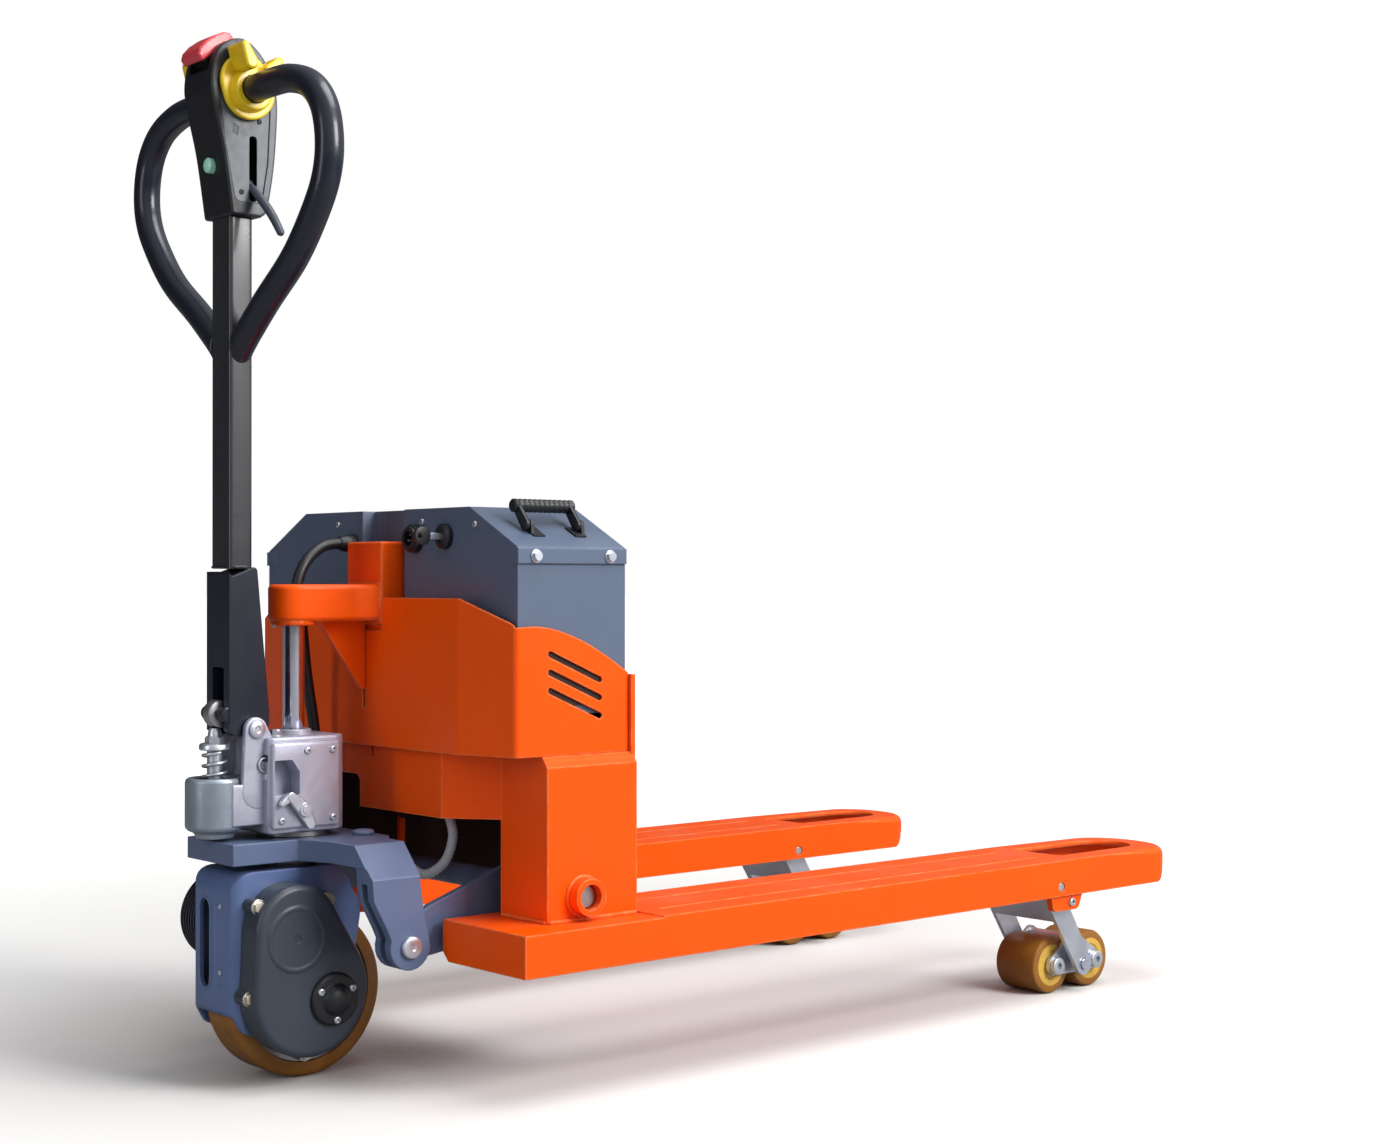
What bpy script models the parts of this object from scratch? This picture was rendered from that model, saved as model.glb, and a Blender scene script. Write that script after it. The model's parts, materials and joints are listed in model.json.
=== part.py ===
"""Semi-electric pallet truck, modelled as the separate pieces that it comes apart into.

Lengths in this script are millimetres in the truck's own frame and become metres when a mesh is made.
X is across the truck, Y runs from the operator (-Y) to the fork tips (+Y), and Z is up. Y is 0 at the
front of the fork heels and Z is 0 on the floor. The forks are modelled raised. The empty at the end
moves everything so that the origin is under the middle of the truck.
"""
import math

import bpy
from mathutils import Vector

MM = 0.001

# ---------------------------------------------------------------- driving dimensions
MID_Y = 486.0            # truck Y that becomes the origin's Y
GAP = 0.3                # between solids that touch

FORK_X = 262.5           # centre of each fork
FORK_HALF = 80.0
FORK_TOP = 195.0
FORK_BOTTOM = 145.0
FORK_SKIN = 6.0
FORK_TIP_Y = 1200.0
TIP_START_Y = 1140.0
HEEL_TOP = 193.0
LOAD_Y = 200.0           # face that the load is pushed against

COLUMN_IN, COLUMN_OUT = 205.0, 295.0
COLUMN_FRONT, COLUMN_BACK = 66.0, 198.0
TRAY_TOP = 383.0
SHELL_X = 284.0
SHEET = 3.0

STEER = (0.0, -90.0)     # steering axis, seen from above
WHEEL = (-92.0, 100.0)   # drive wheel axis in (Y, Z)
WHEEL_R = 100.0
TYRE_X = (-30.0, 38.0)
COVER_LOBE = (-137.0, 182.0)      # upper and lower lobes of the gear cover
HUB_LOBE = (-94.0, 100.0)
GEAR_RADII = {"wheel": 42.0, "idler": 30.0, "pinion": 15.0}
GEAR_MODULE = 3.0
GEAR_X = (70.0, 86.0)

ROCKER = (117.0, 221.0)          # cross shaft axis in (Y, Z)
BASE_PIN = (-45.0, 166.0)
ROCKER_LEVER = (126.516, 192.970)
ARM = (925.0, 158.0)             # load arm pivot in (Y, Z)
ARM_LEVER = (934.525, 176.581)
BOGIE = (1000.0, 40.0)
AXLE_STEP = 43.0
ROLLER_R = 40.0
ROLLER_HALF = 35.0

PUMP_TOP = 402.0
PLUNGER = (0.0, -194.0)          # pump plunger's axis, seen from above
PLUNGER_R = 9.0
SPRING_SEAT = 322.0
TILLER = (-160.0, 412.0)         # tiller pivot in (Y, Z)
PUMP_ROLLER = (-190.0, 430.0)
TUBE_Y = -172.0
YOKE_TOP = 600.0
HEAD_BOTTOM = 1007.0
GRIP_Z = 1150.0                  # height of the handle's cross tube
GRIP_R = 16.0

COVER_TOP = 671.0
COVER_SHOULDER = 623.0
LID_PIVOT = (244.0, 650.0)       # carry handle pivot in (X, Z)
KEY = (136.0, 637.0)
SOCKET = (72.0, 635.0)
GLAND = (-68.0, 631.0)

SIDES = {"left": -1, "right": 1}


# ---------------------------------------------------------------- outlines
def arc(centre, radius, start, end, steps):
    """Points on an arc, angles in degrees from the first axis towards the second."""
    points = []
    for i in range(steps + 1):
        a = math.radians(start + (end - start) * i / steps)
        points.append((centre[0] + radius * math.cos(a), centre[1] + radius * math.sin(a)))
    return points


def sides_for(radius):
    """Sides that keep a round piece round enough for its size."""
    if radius > 80:
        return 32
    if radius > 19:
        return 20
    return 14 if radius > 9.7 else 10


def circle(centre, radius, sides=None):
    sides = sides or sides_for(radius)
    return arc(centre, radius, 0, 360 * (sides - 1) / sides, sides - 1)


def hull(points):
    """Convex outline round a cloud of points, anticlockwise."""
    ordered = sorted(set(points))

    def half(source):
        chain = []
        for p in source:
            while len(chain) > 1:
                (ax, ay), (bx, by) = chain[-2], chain[-1]
                if (bx - ax) * (p[1] - ay) - (by - ay) * (p[0] - ax) > 1e-9:
                    break
                chain.pop()
            chain.append(p)
        return chain[:-1]

    return half(ordered) + half(ordered[::-1])


def belt(*discs, sides=None):
    """Outline of a belt pulled round several discs, each (first, second, radius)."""
    return hull([p for a, b, r in discs for p in circle((a, b), r, sides)])


def mirrored(outline):
    return [(-a, b) for a, b in outline]


# ---------------------------------------------------------------- solids
def to_world(axis, a, b, along):
    """A point given in a section's two axes and along the axis it is extruded on."""
    return {"X": (along, a, b), "Y": (a, along, b), "Z": (a, b, along)}[axis]


def mesh_object(verts, faces):
    mesh = bpy.data.meshes.new("solid")
    mesh.from_pydata([Vector(v) * MM for v in verts], [], faces)
    mesh.validate()
    obj = bpy.data.objects.new("solid", mesh)
    bpy.context.scene.collection.objects.link(obj)
    turn_outwards(obj)
    return obj


def turn_outwards(obj):
    """Flip a closed mesh whose signed volume is negative."""
    mesh = obj.data
    mesh.calc_loop_triangles()
    volume = 0.0
    for tri in mesh.loop_triangles:
        a, b, c = (mesh.vertices[i].co for i in tri.vertices)
        volume += a.dot(b.cross(c))
    if volume < 0:
        mesh.flip_normals()


def loft(axis, low_outline, low, high_outline, high):
    count = len(low_outline)
    verts = [to_world(axis, a, b, low) for a, b in low_outline]
    verts += [to_world(axis, a, b, high) for a, b in high_outline]
    faces = [tuple(range(count))[::-1], tuple(range(count, 2 * count))]
    faces += [(i, (i + 1) % count, count + (i + 1) % count, count + i) for i in range(count)]
    return mesh_object(verts, faces)


def prism(axis, outline, low, high):
    return loft(axis, outline, low, outline, high)


def block(x, y, z):
    return prism("Z", [(x[0], y[0]), (x[1], y[0]), (x[1], y[1]), (x[0], y[1])], z[0], z[1])


def disc(axis, centre, radius, low, high, sides=None):
    return prism(axis, circle(centre, radius, sides), low, high)


def turned(axis, centre, profile, sides=None, closed=False):
    """Solid of revolution. The profile holds (along, radius); a closed one leaves a hole."""
    sides = sides or sides_for(max(radius for _, radius in profile))
    verts, rings = [], []
    for along, radius in profile:
        if radius == 0:
            rings.append([len(verts)] * sides)
            verts.append(to_world(axis, centre[0], centre[1], along))
            continue
        rings.append(list(range(len(verts), len(verts) + sides)))
        verts += [to_world(axis, a, b, along) for a, b in circle(centre, radius, sides)]
    pairs = list(zip(rings, rings[1:]))
    if closed:
        pairs.append((rings[-1], rings[0]))
    faces = []
    for near, far in pairs:
        for i in range(sides):
            j = (i + 1) % sides
            corners = [near[i], near[j], far[j], far[i]]
            faces.append(tuple(dict.fromkeys(corners)))
    return mesh_object(verts, [f for f in faces if len(f) > 2])


def ring(axis, centre, outer, inner, low, high, sides=None):
    profile = [(low, inner), (low, outer), (high, outer), (high, inner)]
    return turned(axis, centre, profile, sides, closed=True)


def smooth_route(points, step):
    """Points about one step apart on a smooth curve through the given ones."""
    knots = [Vector(p) for p in points]
    knots = [2 * knots[0] - knots[1]] + knots + [2 * knots[-1] - knots[-2]]
    route = []
    for p0, p1, p2, p3 in zip(knots, knots[1:], knots[2:], knots[3:]):
        count = max(1, round((p2 - p1).length / step))
        for i in range(count):
            t = i / count
            route.append(0.5 * (2 * p1 + (p2 - p0) * t + (2 * p0 - 5 * p1 + 4 * p2 - p3) * t ** 2
                                + (3 * p1 - p0 - 3 * p2 + p3) * t ** 3))
    return route + [knots[-2]]


def tube(points, radius, resolution=1):
    """A round bar along a route, with closed ends."""
    curve = bpy.data.curves.new("route", "CURVE")
    curve.dimensions = "3D"
    curve.bevel_depth = radius * MM
    curve.bevel_resolution = resolution
    curve.use_fill_caps = True
    spline = curve.splines.new("POLY")
    spline.points.add(len(points) - 1)
    for knot, p in zip(spline.points, points):
        knot.co = (p[0] * MM, p[1] * MM, p[2] * MM, 1.0)
    bar = bpy.data.objects.new("route", curve)
    bpy.context.scene.collection.objects.link(bar)
    bpy.context.view_layer.update()
    mesh = bpy.data.meshes.new_from_object(bar.evaluated_get(bpy.context.evaluated_depsgraph_get()))
    bpy.data.objects.remove(bar)
    obj = bpy.data.objects.new("solid", mesh)
    bpy.context.scene.collection.objects.link(obj)
    weld = obj.modifiers.new("weld", "WELD")
    weld.merge_threshold = 0.00001
    settle(obj)
    turn_outwards(obj)
    return obj


def settle(obj):
    """Turn an object's modifiers into its mesh."""
    bpy.context.view_layer.update()
    evaluated = obj.evaluated_get(bpy.context.evaluated_depsgraph_get())
    mesh = bpy.data.meshes.new_from_object(evaluated)
    obj.modifiers.clear()
    obj.data = mesh


def combine(base, others, operation):
    for other in others:
        modifier = base.modifiers.new(operation.lower(), "BOOLEAN")
        modifier.operation = operation
        modifier.solver = "EXACT"
        modifier.object = other
    settle(base)
    for other in others:
        bpy.data.objects.remove(other)
    return base


def join(base, *others):
    return combine(base, others, "UNION")


def cut(base, *others):
    return combine(base, others, "DIFFERENCE")


# ---------------------------------------------------------------- materials and placing
PALETTE = {                       # name: (colour, roughness, metallic)
    "orange_paint": ((0.93, 0.13, 0.01), 0.35, 0.0),
    "blue_grey_paint": ((0.07, 0.11, 0.20), 0.45, 0.0),
    "charcoal_paint": ((0.04, 0.05, 0.065), 0.5, 0.0),
    "slate_cover": ((0.06, 0.08, 0.13), 0.5, 0.0),
    "black_powder": ((0.015, 0.018, 0.026), 0.4, 0.0),
    "chrome": ((0.8, 0.8, 0.85), 0.08, 1.0),
    "zinc": ((0.6, 0.63, 0.66), 0.35, 0.9),
    "pump_alloy": ((0.45, 0.45, 0.55), 0.45, 0.7),
    "steel": ((0.45, 0.45, 0.46), 0.35, 1.0),
    "polyurethane": ((0.35, 0.16, 0.02), 0.45, 0.0),
    "black_plastic": ((0.02, 0.02, 0.024), 0.5, 0.0),
    "yellow_plastic": ((0.85, 0.6, 0.01), 0.35, 0.0),
    "red_plastic": ((0.6, 0.03, 0.06), 0.35, 0.0),
    "teal_plastic": ((0.25, 0.65, 0.45), 0.3, 0.0),
}
MATERIALS = {}
ROOT = {}


def clear_scene():
    for obj in list(bpy.data.objects):
        bpy.data.objects.remove(obj)


def make_materials():
    for name, (colour, roughness, metallic) in PALETTE.items():
        material = bpy.data.materials.new(name)
        material.use_nodes = True
        shader = material.node_tree.nodes["Principled BSDF"]
        shader.inputs["Base Color"].default_value = (*colour, 1.0)
        shader.inputs["Roughness"].default_value = roughness
        shader.inputs["Metallic"].default_value = metallic
        MATERIALS[name] = material


def place(name, obj, material, pivot=(0.0, 0.0, 0.0)):
    """Name a finished solid, put its origin on its pivot and hang it on the truck's empty."""
    origin = Vector(pivot) * MM
    obj.name = name
    obj.data.name = name
    for vertex in obj.data.vertices:
        vertex.co -= origin
    obj.location = origin
    obj.parent = ROOT["truck"]
    obj.data.materials.clear()
    obj.data.materials.append(MATERIALS[material])
    obj.data.shade_smooth()
    obj.data.set_sharp_from_angle(angle=math.radians(35))


# ---------------------------------------------------------------- forks and chassis
def fork_plan(side, inset):
    """Outline of a fork seen from above, with a half-ellipse tip."""
    half = FORK_HALF - inset
    start = inset + 2 if inset else 0.0
    reach = FORK_TIP_Y - TIP_START_Y - inset
    tip = [(half * math.cos(math.radians(a)), TIP_START_Y + reach * math.sin(math.radians(a)))
           for a in range(0, 181, 12)]
    outline = [(-half, start), (half, start)] + tip
    return [(side * FORK_X + x, y) for x, y in outline]


def make_fork(name, side):
    centre = side * FORK_X
    fork = prism("Z", fork_plan(side, 0.0), FORK_BOTTOM, FORK_TOP)
    hollow = prism("Z", fork_plan(side, FORK_SKIN), FORK_BOTTOM - 5, FORK_TOP - FORK_SKIN)
    slot = [(centre - 44, 965), (centre + 44, 965)]
    slot += arc((centre, 1112), 44, 0, 180, 12)
    opening = prism("Z", slot, FORK_TOP - 12, FORK_TOP + 5)
    lever_hole = block((centre - 22.5, centre + 22.5), (85, 180), (FORK_TOP - 12, FORK_TOP + 5))
    nose = [(1135, 140), (1139, 144)] + arc((1139, 172), 28, -80, -10, 5) + [(1210, 168), (1210, 140)]
    undercut = prism("X", nose, centre - 90, centre + 90)
    heel_step = block((centre - 90, centre + 90), (-5, LOAD_Y + GAP), (HEEL_TOP, FORK_TOP + 5))
    inner = centre - side * FORK_HALF
    chamfer = [(inner - side * 5, 140), (inner + side * 16, 140), (inner - side * 5, 161)]
    pin_hole = disc("X", ARM, 6.6, centre - 90, centre + 90)
    cut(fork, hollow, opening, lever_hole, undercut, heel_step,
        prism("Y", chamfer, -5, 14), pin_hole)
    lug_x = sorted((centre + side * 66, centre + side * 78))
    lug = [(905, 150), (912, 124), (966, 124), (976, 150)]
    join(fork, cut(prism("X", lug, lug_x[0], lug_x[1]),
                   disc("X", ARM, 12, centre - 90, centre + 90)))
    place(name, fork, "orange_paint")


def make_chassis_frame():
    low = [(150, 20), (207, 66), (COLUMN_OUT, 66), (COLUMN_OUT, COLUMN_BACK)]
    low = mirrored(low)[::-1] + low
    top = [(x * 286 / COLUMN_OUT if abs(x) > 290 else x, y) for x, y in low]
    inside = [(147.9, 26), (204.7, 72), (289, 72), (289, 192)]
    inside = mirrored(inside)[::-1] + inside
    frame = prism("Z", low, 305, 371)
    rim = loft("Z", low, 370.9, top, TRAY_TOP)
    columns, hollows, bosses, bores = [], [], [], []
    for s in SIDES.values():
        columns.append(block(sorted((s * COLUMN_IN, s * COLUMN_OUT)),
                             (COLUMN_FRONT, COLUMN_BACK), (HEEL_TOP + GAP, 320)))
        hollows.append(block(sorted((s * 211, s * 289)), (72, 192), (185, 377)))
        bosses.append(disc("X", ROCKER, 22, *sorted((s * 290, s * 312))))
        bores.append(disc("X", ROCKER, 15, *sorted((s * 200, s * 320))))
    plate = block((-289.5, 289.5), (194, LOAD_Y), (HEEL_TOP + GAP, 474))
    join(frame, rim, *columns, plate)
    cut(frame, prism("Z", inside, 300, 377), *hollows)
    join(frame, *bosses)
    notch = belt((-98, 335, 10), (-38, 335, 10), (-98, 300, 10), (-38, 300, 10))
    slot = block((-3, 3), (10, 30), (368, 390))
    rear_window = block((-180, 180), (190, 205), (185, 262))
    cut(frame, *bores, prism("Y", notch, 10, 40), slot, rear_window)
    place("chassis_frame", frame, "orange_paint")


def make_body_shell():
    """Bent sheet round the batteries, open behind, with its top edge swept down at the sides."""
    back = LOAD_Y - 6.7
    outer = [(-SHELL_X, back), (-SHELL_X, 31), (-200, 8), (200, 8), (SHELL_X, 31), (SHELL_X, back)]
    inner_x = SHELL_X - SHEET
    inner = [(-inner_x, 250), (-inner_x, 31 + SHEET), (-199.6, 8 + SHEET),
             (199.6, 8 + SHEET), (inner_x, 31 + SHEET), (inner_x, 250)]
    shell = prism("Z", outer, TRAY_TOP + GAP, 600)
    front_top = [(-300, 526), (-200, 564), (200, 564), (300, 526), (300, 620), (-300, 620)]
    side_top = [(31, 531), (60, 532), (90, 527), (127, 514), (165, 494), (200, 472),
                (260, 430), (260, 620), (31, 620)]
    post_notch = block((-40.5, 40.5), (0, 20), (524, 620))
    cut(shell, prism("Z", inner, 370, 620), prism("Y", front_top, -5, 40),
        prism("X", side_top, -300, 300), post_notch, block((-3, 3), (0, 20), (430, 462)))
    vents = []
    for i in range(3):
        z = 502 - 21 * i
        vents.append(prism("X", belt((79, z - 2, 3.6), (151, z - 33, 3.6), sides=12), -300, 300))
    cut(shell, *vents)
    place("body_shell", shell, "orange_paint")


def cover_section(half, shoulder, top, flat, bottom):
    return [(-half, bottom), (half, bottom), (half, shoulder), (flat, top), (-flat, top), (-half, shoulder)]


def make_battery_cover():
    """Folded lid over the battery: sloped shoulders, a lip along each side, a bay for the post."""
    front, back = 36.0, 193.0
    cover = prism("Y", cover_section(279, COVER_SHOULDER, COVER_TOP, 184, 430), front, back)
    lips = [block(sorted((s * 260, s * 282)), (front - 1.5, back), (604, 622)) for s in SIDES.values()]
    join(cover, *lips)
    hollow = prism("Y", cover_section(276, COVER_SHOULDER - 1.5, COVER_TOP - 3, 182.5, 425),
                   front + SHEET, back - SHEET)
    bay = block((-47, 47), (20, 54), (420, 700))
    bay_wall = cut(block((-50, 50), (front, 57), (430, COVER_TOP)), block((-47, 47), (20, 54), (420, 700)))
    cut(cover, hollow, bay)
    join(cover, bay_wall)
    holes = [disc("Y", SOCKET, 12, 20, 50), disc("Y", KEY, 8, 20, 50),
             disc("Y", GLAND, 7.6, 20, 50)]
    place("battery_cover", cut(cover, *holes), "slate_cover")


def make_cover_fittings():
    socket = turned("Y", SOCKET, [(24, 0), (24, 14), (27, 17), (35.7, 17), (35.7, 11.5), (48, 11.5), (48, 0)])
    place("charge_socket", cut(socket, disc("Y", SOCKET, 9, 20, 40)), "black_plastic")
    switch = turned("Y", KEY, [(27, 0), (27, 12), (30, 15), (35.7, 15), (35.7, 7.5), (52, 7.5), (52, 0)])
    place("key_switch", cut(switch, disc("Y", KEY, 5.6, 20, 44)), "black_plastic")
    blade = block((KEY[0] - 1.2, KEY[0] + 1.2), (6, 43), (KEY[1] - 4, KEY[1] + 4))
    bow = cut(disc("X", (2, KEY[1]), 11, KEY[0] - 1.2, KEY[0] + 1.2),
              disc("X", (0, KEY[1]), 3.5, KEY[0] - 5, KEY[0] + 5, 12))
    place("key", join(blade, bow), "steel", (KEY[0], 20, KEY[1]))

    x, z = LID_PIVOT
    legs = [prism("Y", belt((x, z, 7), (x - 17, z + 22, 6), sides=12), y, y + 5) for y in (70, 145)]
    grip = disc("Y", (x - 17, z + 22), 8, 66, 154)
    place("lid_handle", join(grip, *legs), "black_plastic", (x, 110, z))


def make_battery():
    pack = block((-262, 262), (62, 184), (TRAY_TOP + GAP, 590))
    terminals = [disc("Z", (x, 120), 9, 585, 602) for x in (-200, 200)]
    place("battery", join(pack, *terminals), "black_plastic")
    case = block((60, 190), (47, 61), (TRAY_TOP + GAP, 520))
    fins = [block((68 + 24 * i, 72 + 24 * i), (41, 48), (395, 510)) for i in range(5)]
    place("motor_controller", join(case, *fins), "steel")


def make_crosshead():
    post = block((-39, 39), (11.6, 45), (TRAY_TOP + GAP, 632))
    upper = block((-39, 39), (8, 45), (531, 632))
    plan = hull(circle((STEER[0], STEER[1]), 30) + [(-36, -30), (36, -30), (36, 40), (-36, 40)])
    arm = prism("Z", plan, 531, 580)
    web = prism("X", [(-36, 536), (7.4, 536), (7.4, 480), (2, 480)], -4, 4)
    join(post, upper, arm, web)
    place("crosshead", cut(post, disc("Z", STEER, 13.5, 520, 556)), "orange_paint")
    ram = turned("Z", STEER, [(380, 0), (380, 12), (382, 13), (555, 13), (555, 0)])
    place("lift_ram", ram, "chrome")


# ---------------------------------------------------------------- base and lift linkage
def make_base():
    """Steering plate with a narrow nose and, each side, a clevis down to the rocker's pin."""
    right = [(55, -200), (57, -118), (100, -100), (184, -98), (184, -32), (120, -32), (92, -15)]
    plate = prism("Z", mirrored(right)[::-1] + right, 258, 283)
    ears, slots, slopes, pin_holes = [], [], [], []
    for s in SIDES.values():
        profile = [(-98, 270), (-94, 222), (-76, 188)] + arc(BASE_PIN, 27, 160, 355, 12)
        profile += [(-26, 200), (-32, 240), (-32, 270)]
        ears.append(prism("X", profile, *sorted((s * 150, s * 184))))
        slots.append(block(sorted((s * 159, s * 171)), (-110, 10), (120, 240)))
        slopes.append(prism("Y", [(s * 150, 283), (s * 190, 240), (s * 190, 300), (s * 150, 300)], -110, 0))
        pin_holes.append(disc("X", BASE_PIN, 9.5, *sorted((s * 140, s * 190))))
    join(plate, *ears)
    cut(plate, *slots, *slopes, *pin_holes, disc("Z", STEER, 29, 250, 300))
    place("base_plate", plate, "blue_grey_paint")
    place("thrust_bearing", ring("Z", STEER, 44, 29.5, 283.3, 289.7), "steel")
    for name, s in SIDES.items():
        pin = turned("X", BASE_PIN, [(s * 148, 0), (s * 148, 9), (s * 184.4, 9), (s * 184.4, 13),
                                     (s * 189, 12), (s * 190, 10), (s * 190, 0)])
        place("base_pin_" + name, pin, "zinc")


def make_rocker():
    shaft = disc("X", ROCKER, 14, -299, 299)
    reach = Vector((BASE_PIN[0] - ROCKER[0], BASE_PIN[1] - ROCKER[1]))
    inner_end = Vector(ROCKER) + reach.normalized() * 162.0
    parts, slots = [], []
    for s in SIDES.values():
        arm = belt((*BASE_PIN, 20), (0, 181, 29), (*ROCKER, 29))
        parts.append(prism("X", arm, *sorted((s * 160, s * 170))))
        slot = belt((inner_end.x, inner_end.y, 10.3), (*BASE_PIN, 10.3))
        slots.append(prism("X", slot, *sorted((s * 155, s * 175))))
        lever = belt((*ROCKER, 18), (*ROCKER_LEVER, 10))
        parts.append(prism("X", lever, *sorted((s * 256, s * 264))))
        slots.append(disc("X", ROCKER_LEVER, 6.3, *sorted((s * 250, s * 265))))
    place("rocker_frame", cut(join(shaft, *parts), *slots), "blue_grey_paint", (0, *ROCKER))


def make_pushrod(name, s):
    bar = block(sorted((s * 256, s * 274)), (150, 900), (168, 182))
    rear = prism("X", belt((*ROCKER_LEVER, 9), (158, 175, 7)), *sorted((s * 266, s * 274)))
    front = prism("X", belt((*ARM_LEVER, 8), (895, 175, 7)), *sorted((s * 266, s * 274)))
    pins = [disc("X", centre, 3.2, *sorted((s * 254, s * 268))) for centre in (ROCKER_LEVER, ARM_LEVER)]
    place("pushrod_" + name, join(bar, rear, front, *pins), "steel", (s * FORK_X, *ROCKER_LEVER))


def make_load_arm(name, s):
    centre = s * FORK_X
    along = (Vector(BOGIE) - Vector(ARM)).normalized()
    below = Vector((along.y, -along.x))

    def at(a, b):
        p = Vector(ARM) + along * a + below * b
        return (p.x, p.y)

    cheek = belt((*ARM, 18), (*BOGIE, 16))
    cheeks = [prism("X", cheek, centre + a, centre + a + 6) for a in (-59, 53)]
    web = prism("X", [at(-4, 13), at(52, 13), at(52, 17), at(-4, 17)], centre - 55, centre + 55)
    hub = disc("X", ARM, 9.2, centre - 55, centre + 55)
    lever = prism("X", belt((*ARM, 11), (*ARM_LEVER, 8.6)), *sorted((s * 256, s * 264)))
    join(hub, *cheeks, web, lever)
    cut(hub, disc("X", ARM, 6.5, centre - 70, centre + 70),
        disc("X", BOGIE, 8.7, centre - 70, centre + 70),
        disc("X", ARM_LEVER, 5.9, *sorted((s * 250, s * 265))))
    place("load_arm_" + name, hub, "zinc", (centre, *ARM))
    pin = disc("X", ARM, 6, centre - 79, centre + 79)
    place("arm_pivot_" + name, pin, "zinc", (centre, *ARM))


def make_bogie(name, s):
    centre = s * FORK_X
    y, z = BOGIE
    plan = belt((y - AXLE_STEP, z, 14), (y + AXLE_STEP, z, 14), (y, z + 32, 11))
    plates = [prism("X", plan, centre + a, centre + a + 6) for a in (-42, 36)]
    tie = disc("X", (y, z + 32), 8, centre - 37, centre + 37)
    stubs = [disc("X", BOGIE, 8, centre + a, centre + a + 24) for a in (-62, 38)]
    join(tie, *plates, *stubs)
    bores = [disc("X", (y + d, z), 8.5, centre - 50, centre + 50) for d in (-AXLE_STEP, AXLE_STEP)]
    place("bogie_" + name, cut(tie, *bores), "zinc", (centre, *BOGIE))
    for end, d in {"rear": AXLE_STEP, "front": -AXLE_STEP}.items():
        axis = (y + d, z)
        half = ROLLER_HALF
        roller = turned("X", axis, [(centre - half, 8.6), (centre - half, 38), (centre - half + 3, ROLLER_R),
                                    (centre + half - 3, ROLLER_R), (centre + half, 38), (centre + half, 8.6)],
                        closed=True)
        place("load_roller_%s_%s" % (name, end), roller, "polyurethane", (centre, *axis))
        axle = turned("X", axis, [(centre - 50, 0), (centre - 50, 12), (centre - 42.4, 12), (centre - 42.4, 8),
                                  (centre + 42.4, 8), (centre + 42.4, 12), (centre + 50, 12), (centre + 50, 0)])
        place("roller_axle_%s_%s" % (name, end), axle, "zinc", (centre, *axis))


# ---------------------------------------------------------------- drive unit
def gear_outline(centre, radius, first_tooth):
    """Toothed outline with thin straight-sided teeth; first_tooth is one tooth's angle in degrees."""
    teeth = round(2 * radius / GEAR_MODULE)
    pitch = 360.0 / teeth
    points = []
    for i in range(teeth):
        middle = first_tooth + i * pitch
        for share, r in ((-0.27, radius - 1.2 * GEAR_MODULE), (-0.12, radius + 0.75 * GEAR_MODULE),
                         (0.12, radius + 0.75 * GEAR_MODULE), (0.27, radius - 1.2 * GEAR_MODULE)):
            a = math.radians(middle + share * pitch)
            points.append((centre[0] + r * math.cos(a), centre[1] + r * math.sin(a)))
    return points


def gear_train():
    """Axis of each gear in (Y, Z), in a line from the wheel up to the motor's shaft."""
    slope = 119.2
    direction = Vector((math.cos(math.radians(slope)), math.sin(math.radians(slope))))
    idler = GEAR_RADII["wheel"] + GEAR_RADII["idler"]
    pinion = idler + GEAR_RADII["idler"] + GEAR_RADII["pinion"]
    centres = {"wheel": WHEEL}
    for name, distance in {"idler": idler, "pinion": pinion}.items():
        p = Vector(WHEEL) + direction * distance
        centres[name] = (p.x, p.y)
    return centres, slope


def make_gears():
    centres, slope = gear_train()
    wheel = prism("X", gear_outline(WHEEL, GEAR_RADII["wheel"], slope), *GEAR_X)
    place("wheel_gear", cut(wheel, disc("X", WHEEL, 15.4, 60, 95)), "steel", (0, *WHEEL))
    half_pitch = 180.0 * GEAR_MODULE / (2 * GEAR_RADII["idler"])
    idler = prism("X", gear_outline(centres["idler"], GEAR_RADII["idler"], slope + 180 + half_pitch), *GEAR_X)
    place("idler_gear", cut(idler, disc("X", centres["idler"], 6.6, 60, 95)), "steel",
          (0, *centres["idler"]))
    pinion = prism("X", gear_outline(centres["pinion"], GEAR_RADII["pinion"], slope + 180), *GEAR_X)
    shaft = disc("X", centres["pinion"], 6, -58, 88)
    place("motor_pinion", join(pinion, shaft), "steel", (0, *centres["pinion"]))


def make_drive_wheel():
    rim = turned("X", WHEEL, [(-39, 0), (-39, 15), (-28, 15), (-28, 40), (-16, 46), (-16, 72), (-26, 76),
                              (-26, 82), (34, 82), (34, 76), (24, 72), (24, 46), (36, 40), (36, 15),
                              (90, 15), (90, 0)])
    place("drive_rim", rim, "steel", (0, *WHEEL))
    low, high = TYRE_X
    tyre = turned("X", WHEEL, [(low, 82.4), (low, WHEEL_R - 4), (low + 4, WHEEL_R),
                               (high - 4, WHEEL_R), (high, WHEEL_R - 4), (high, 82.4)], closed=True)
    place("drive_tyre", tyre, "polyurethane", (0, *WHEEL))


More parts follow.
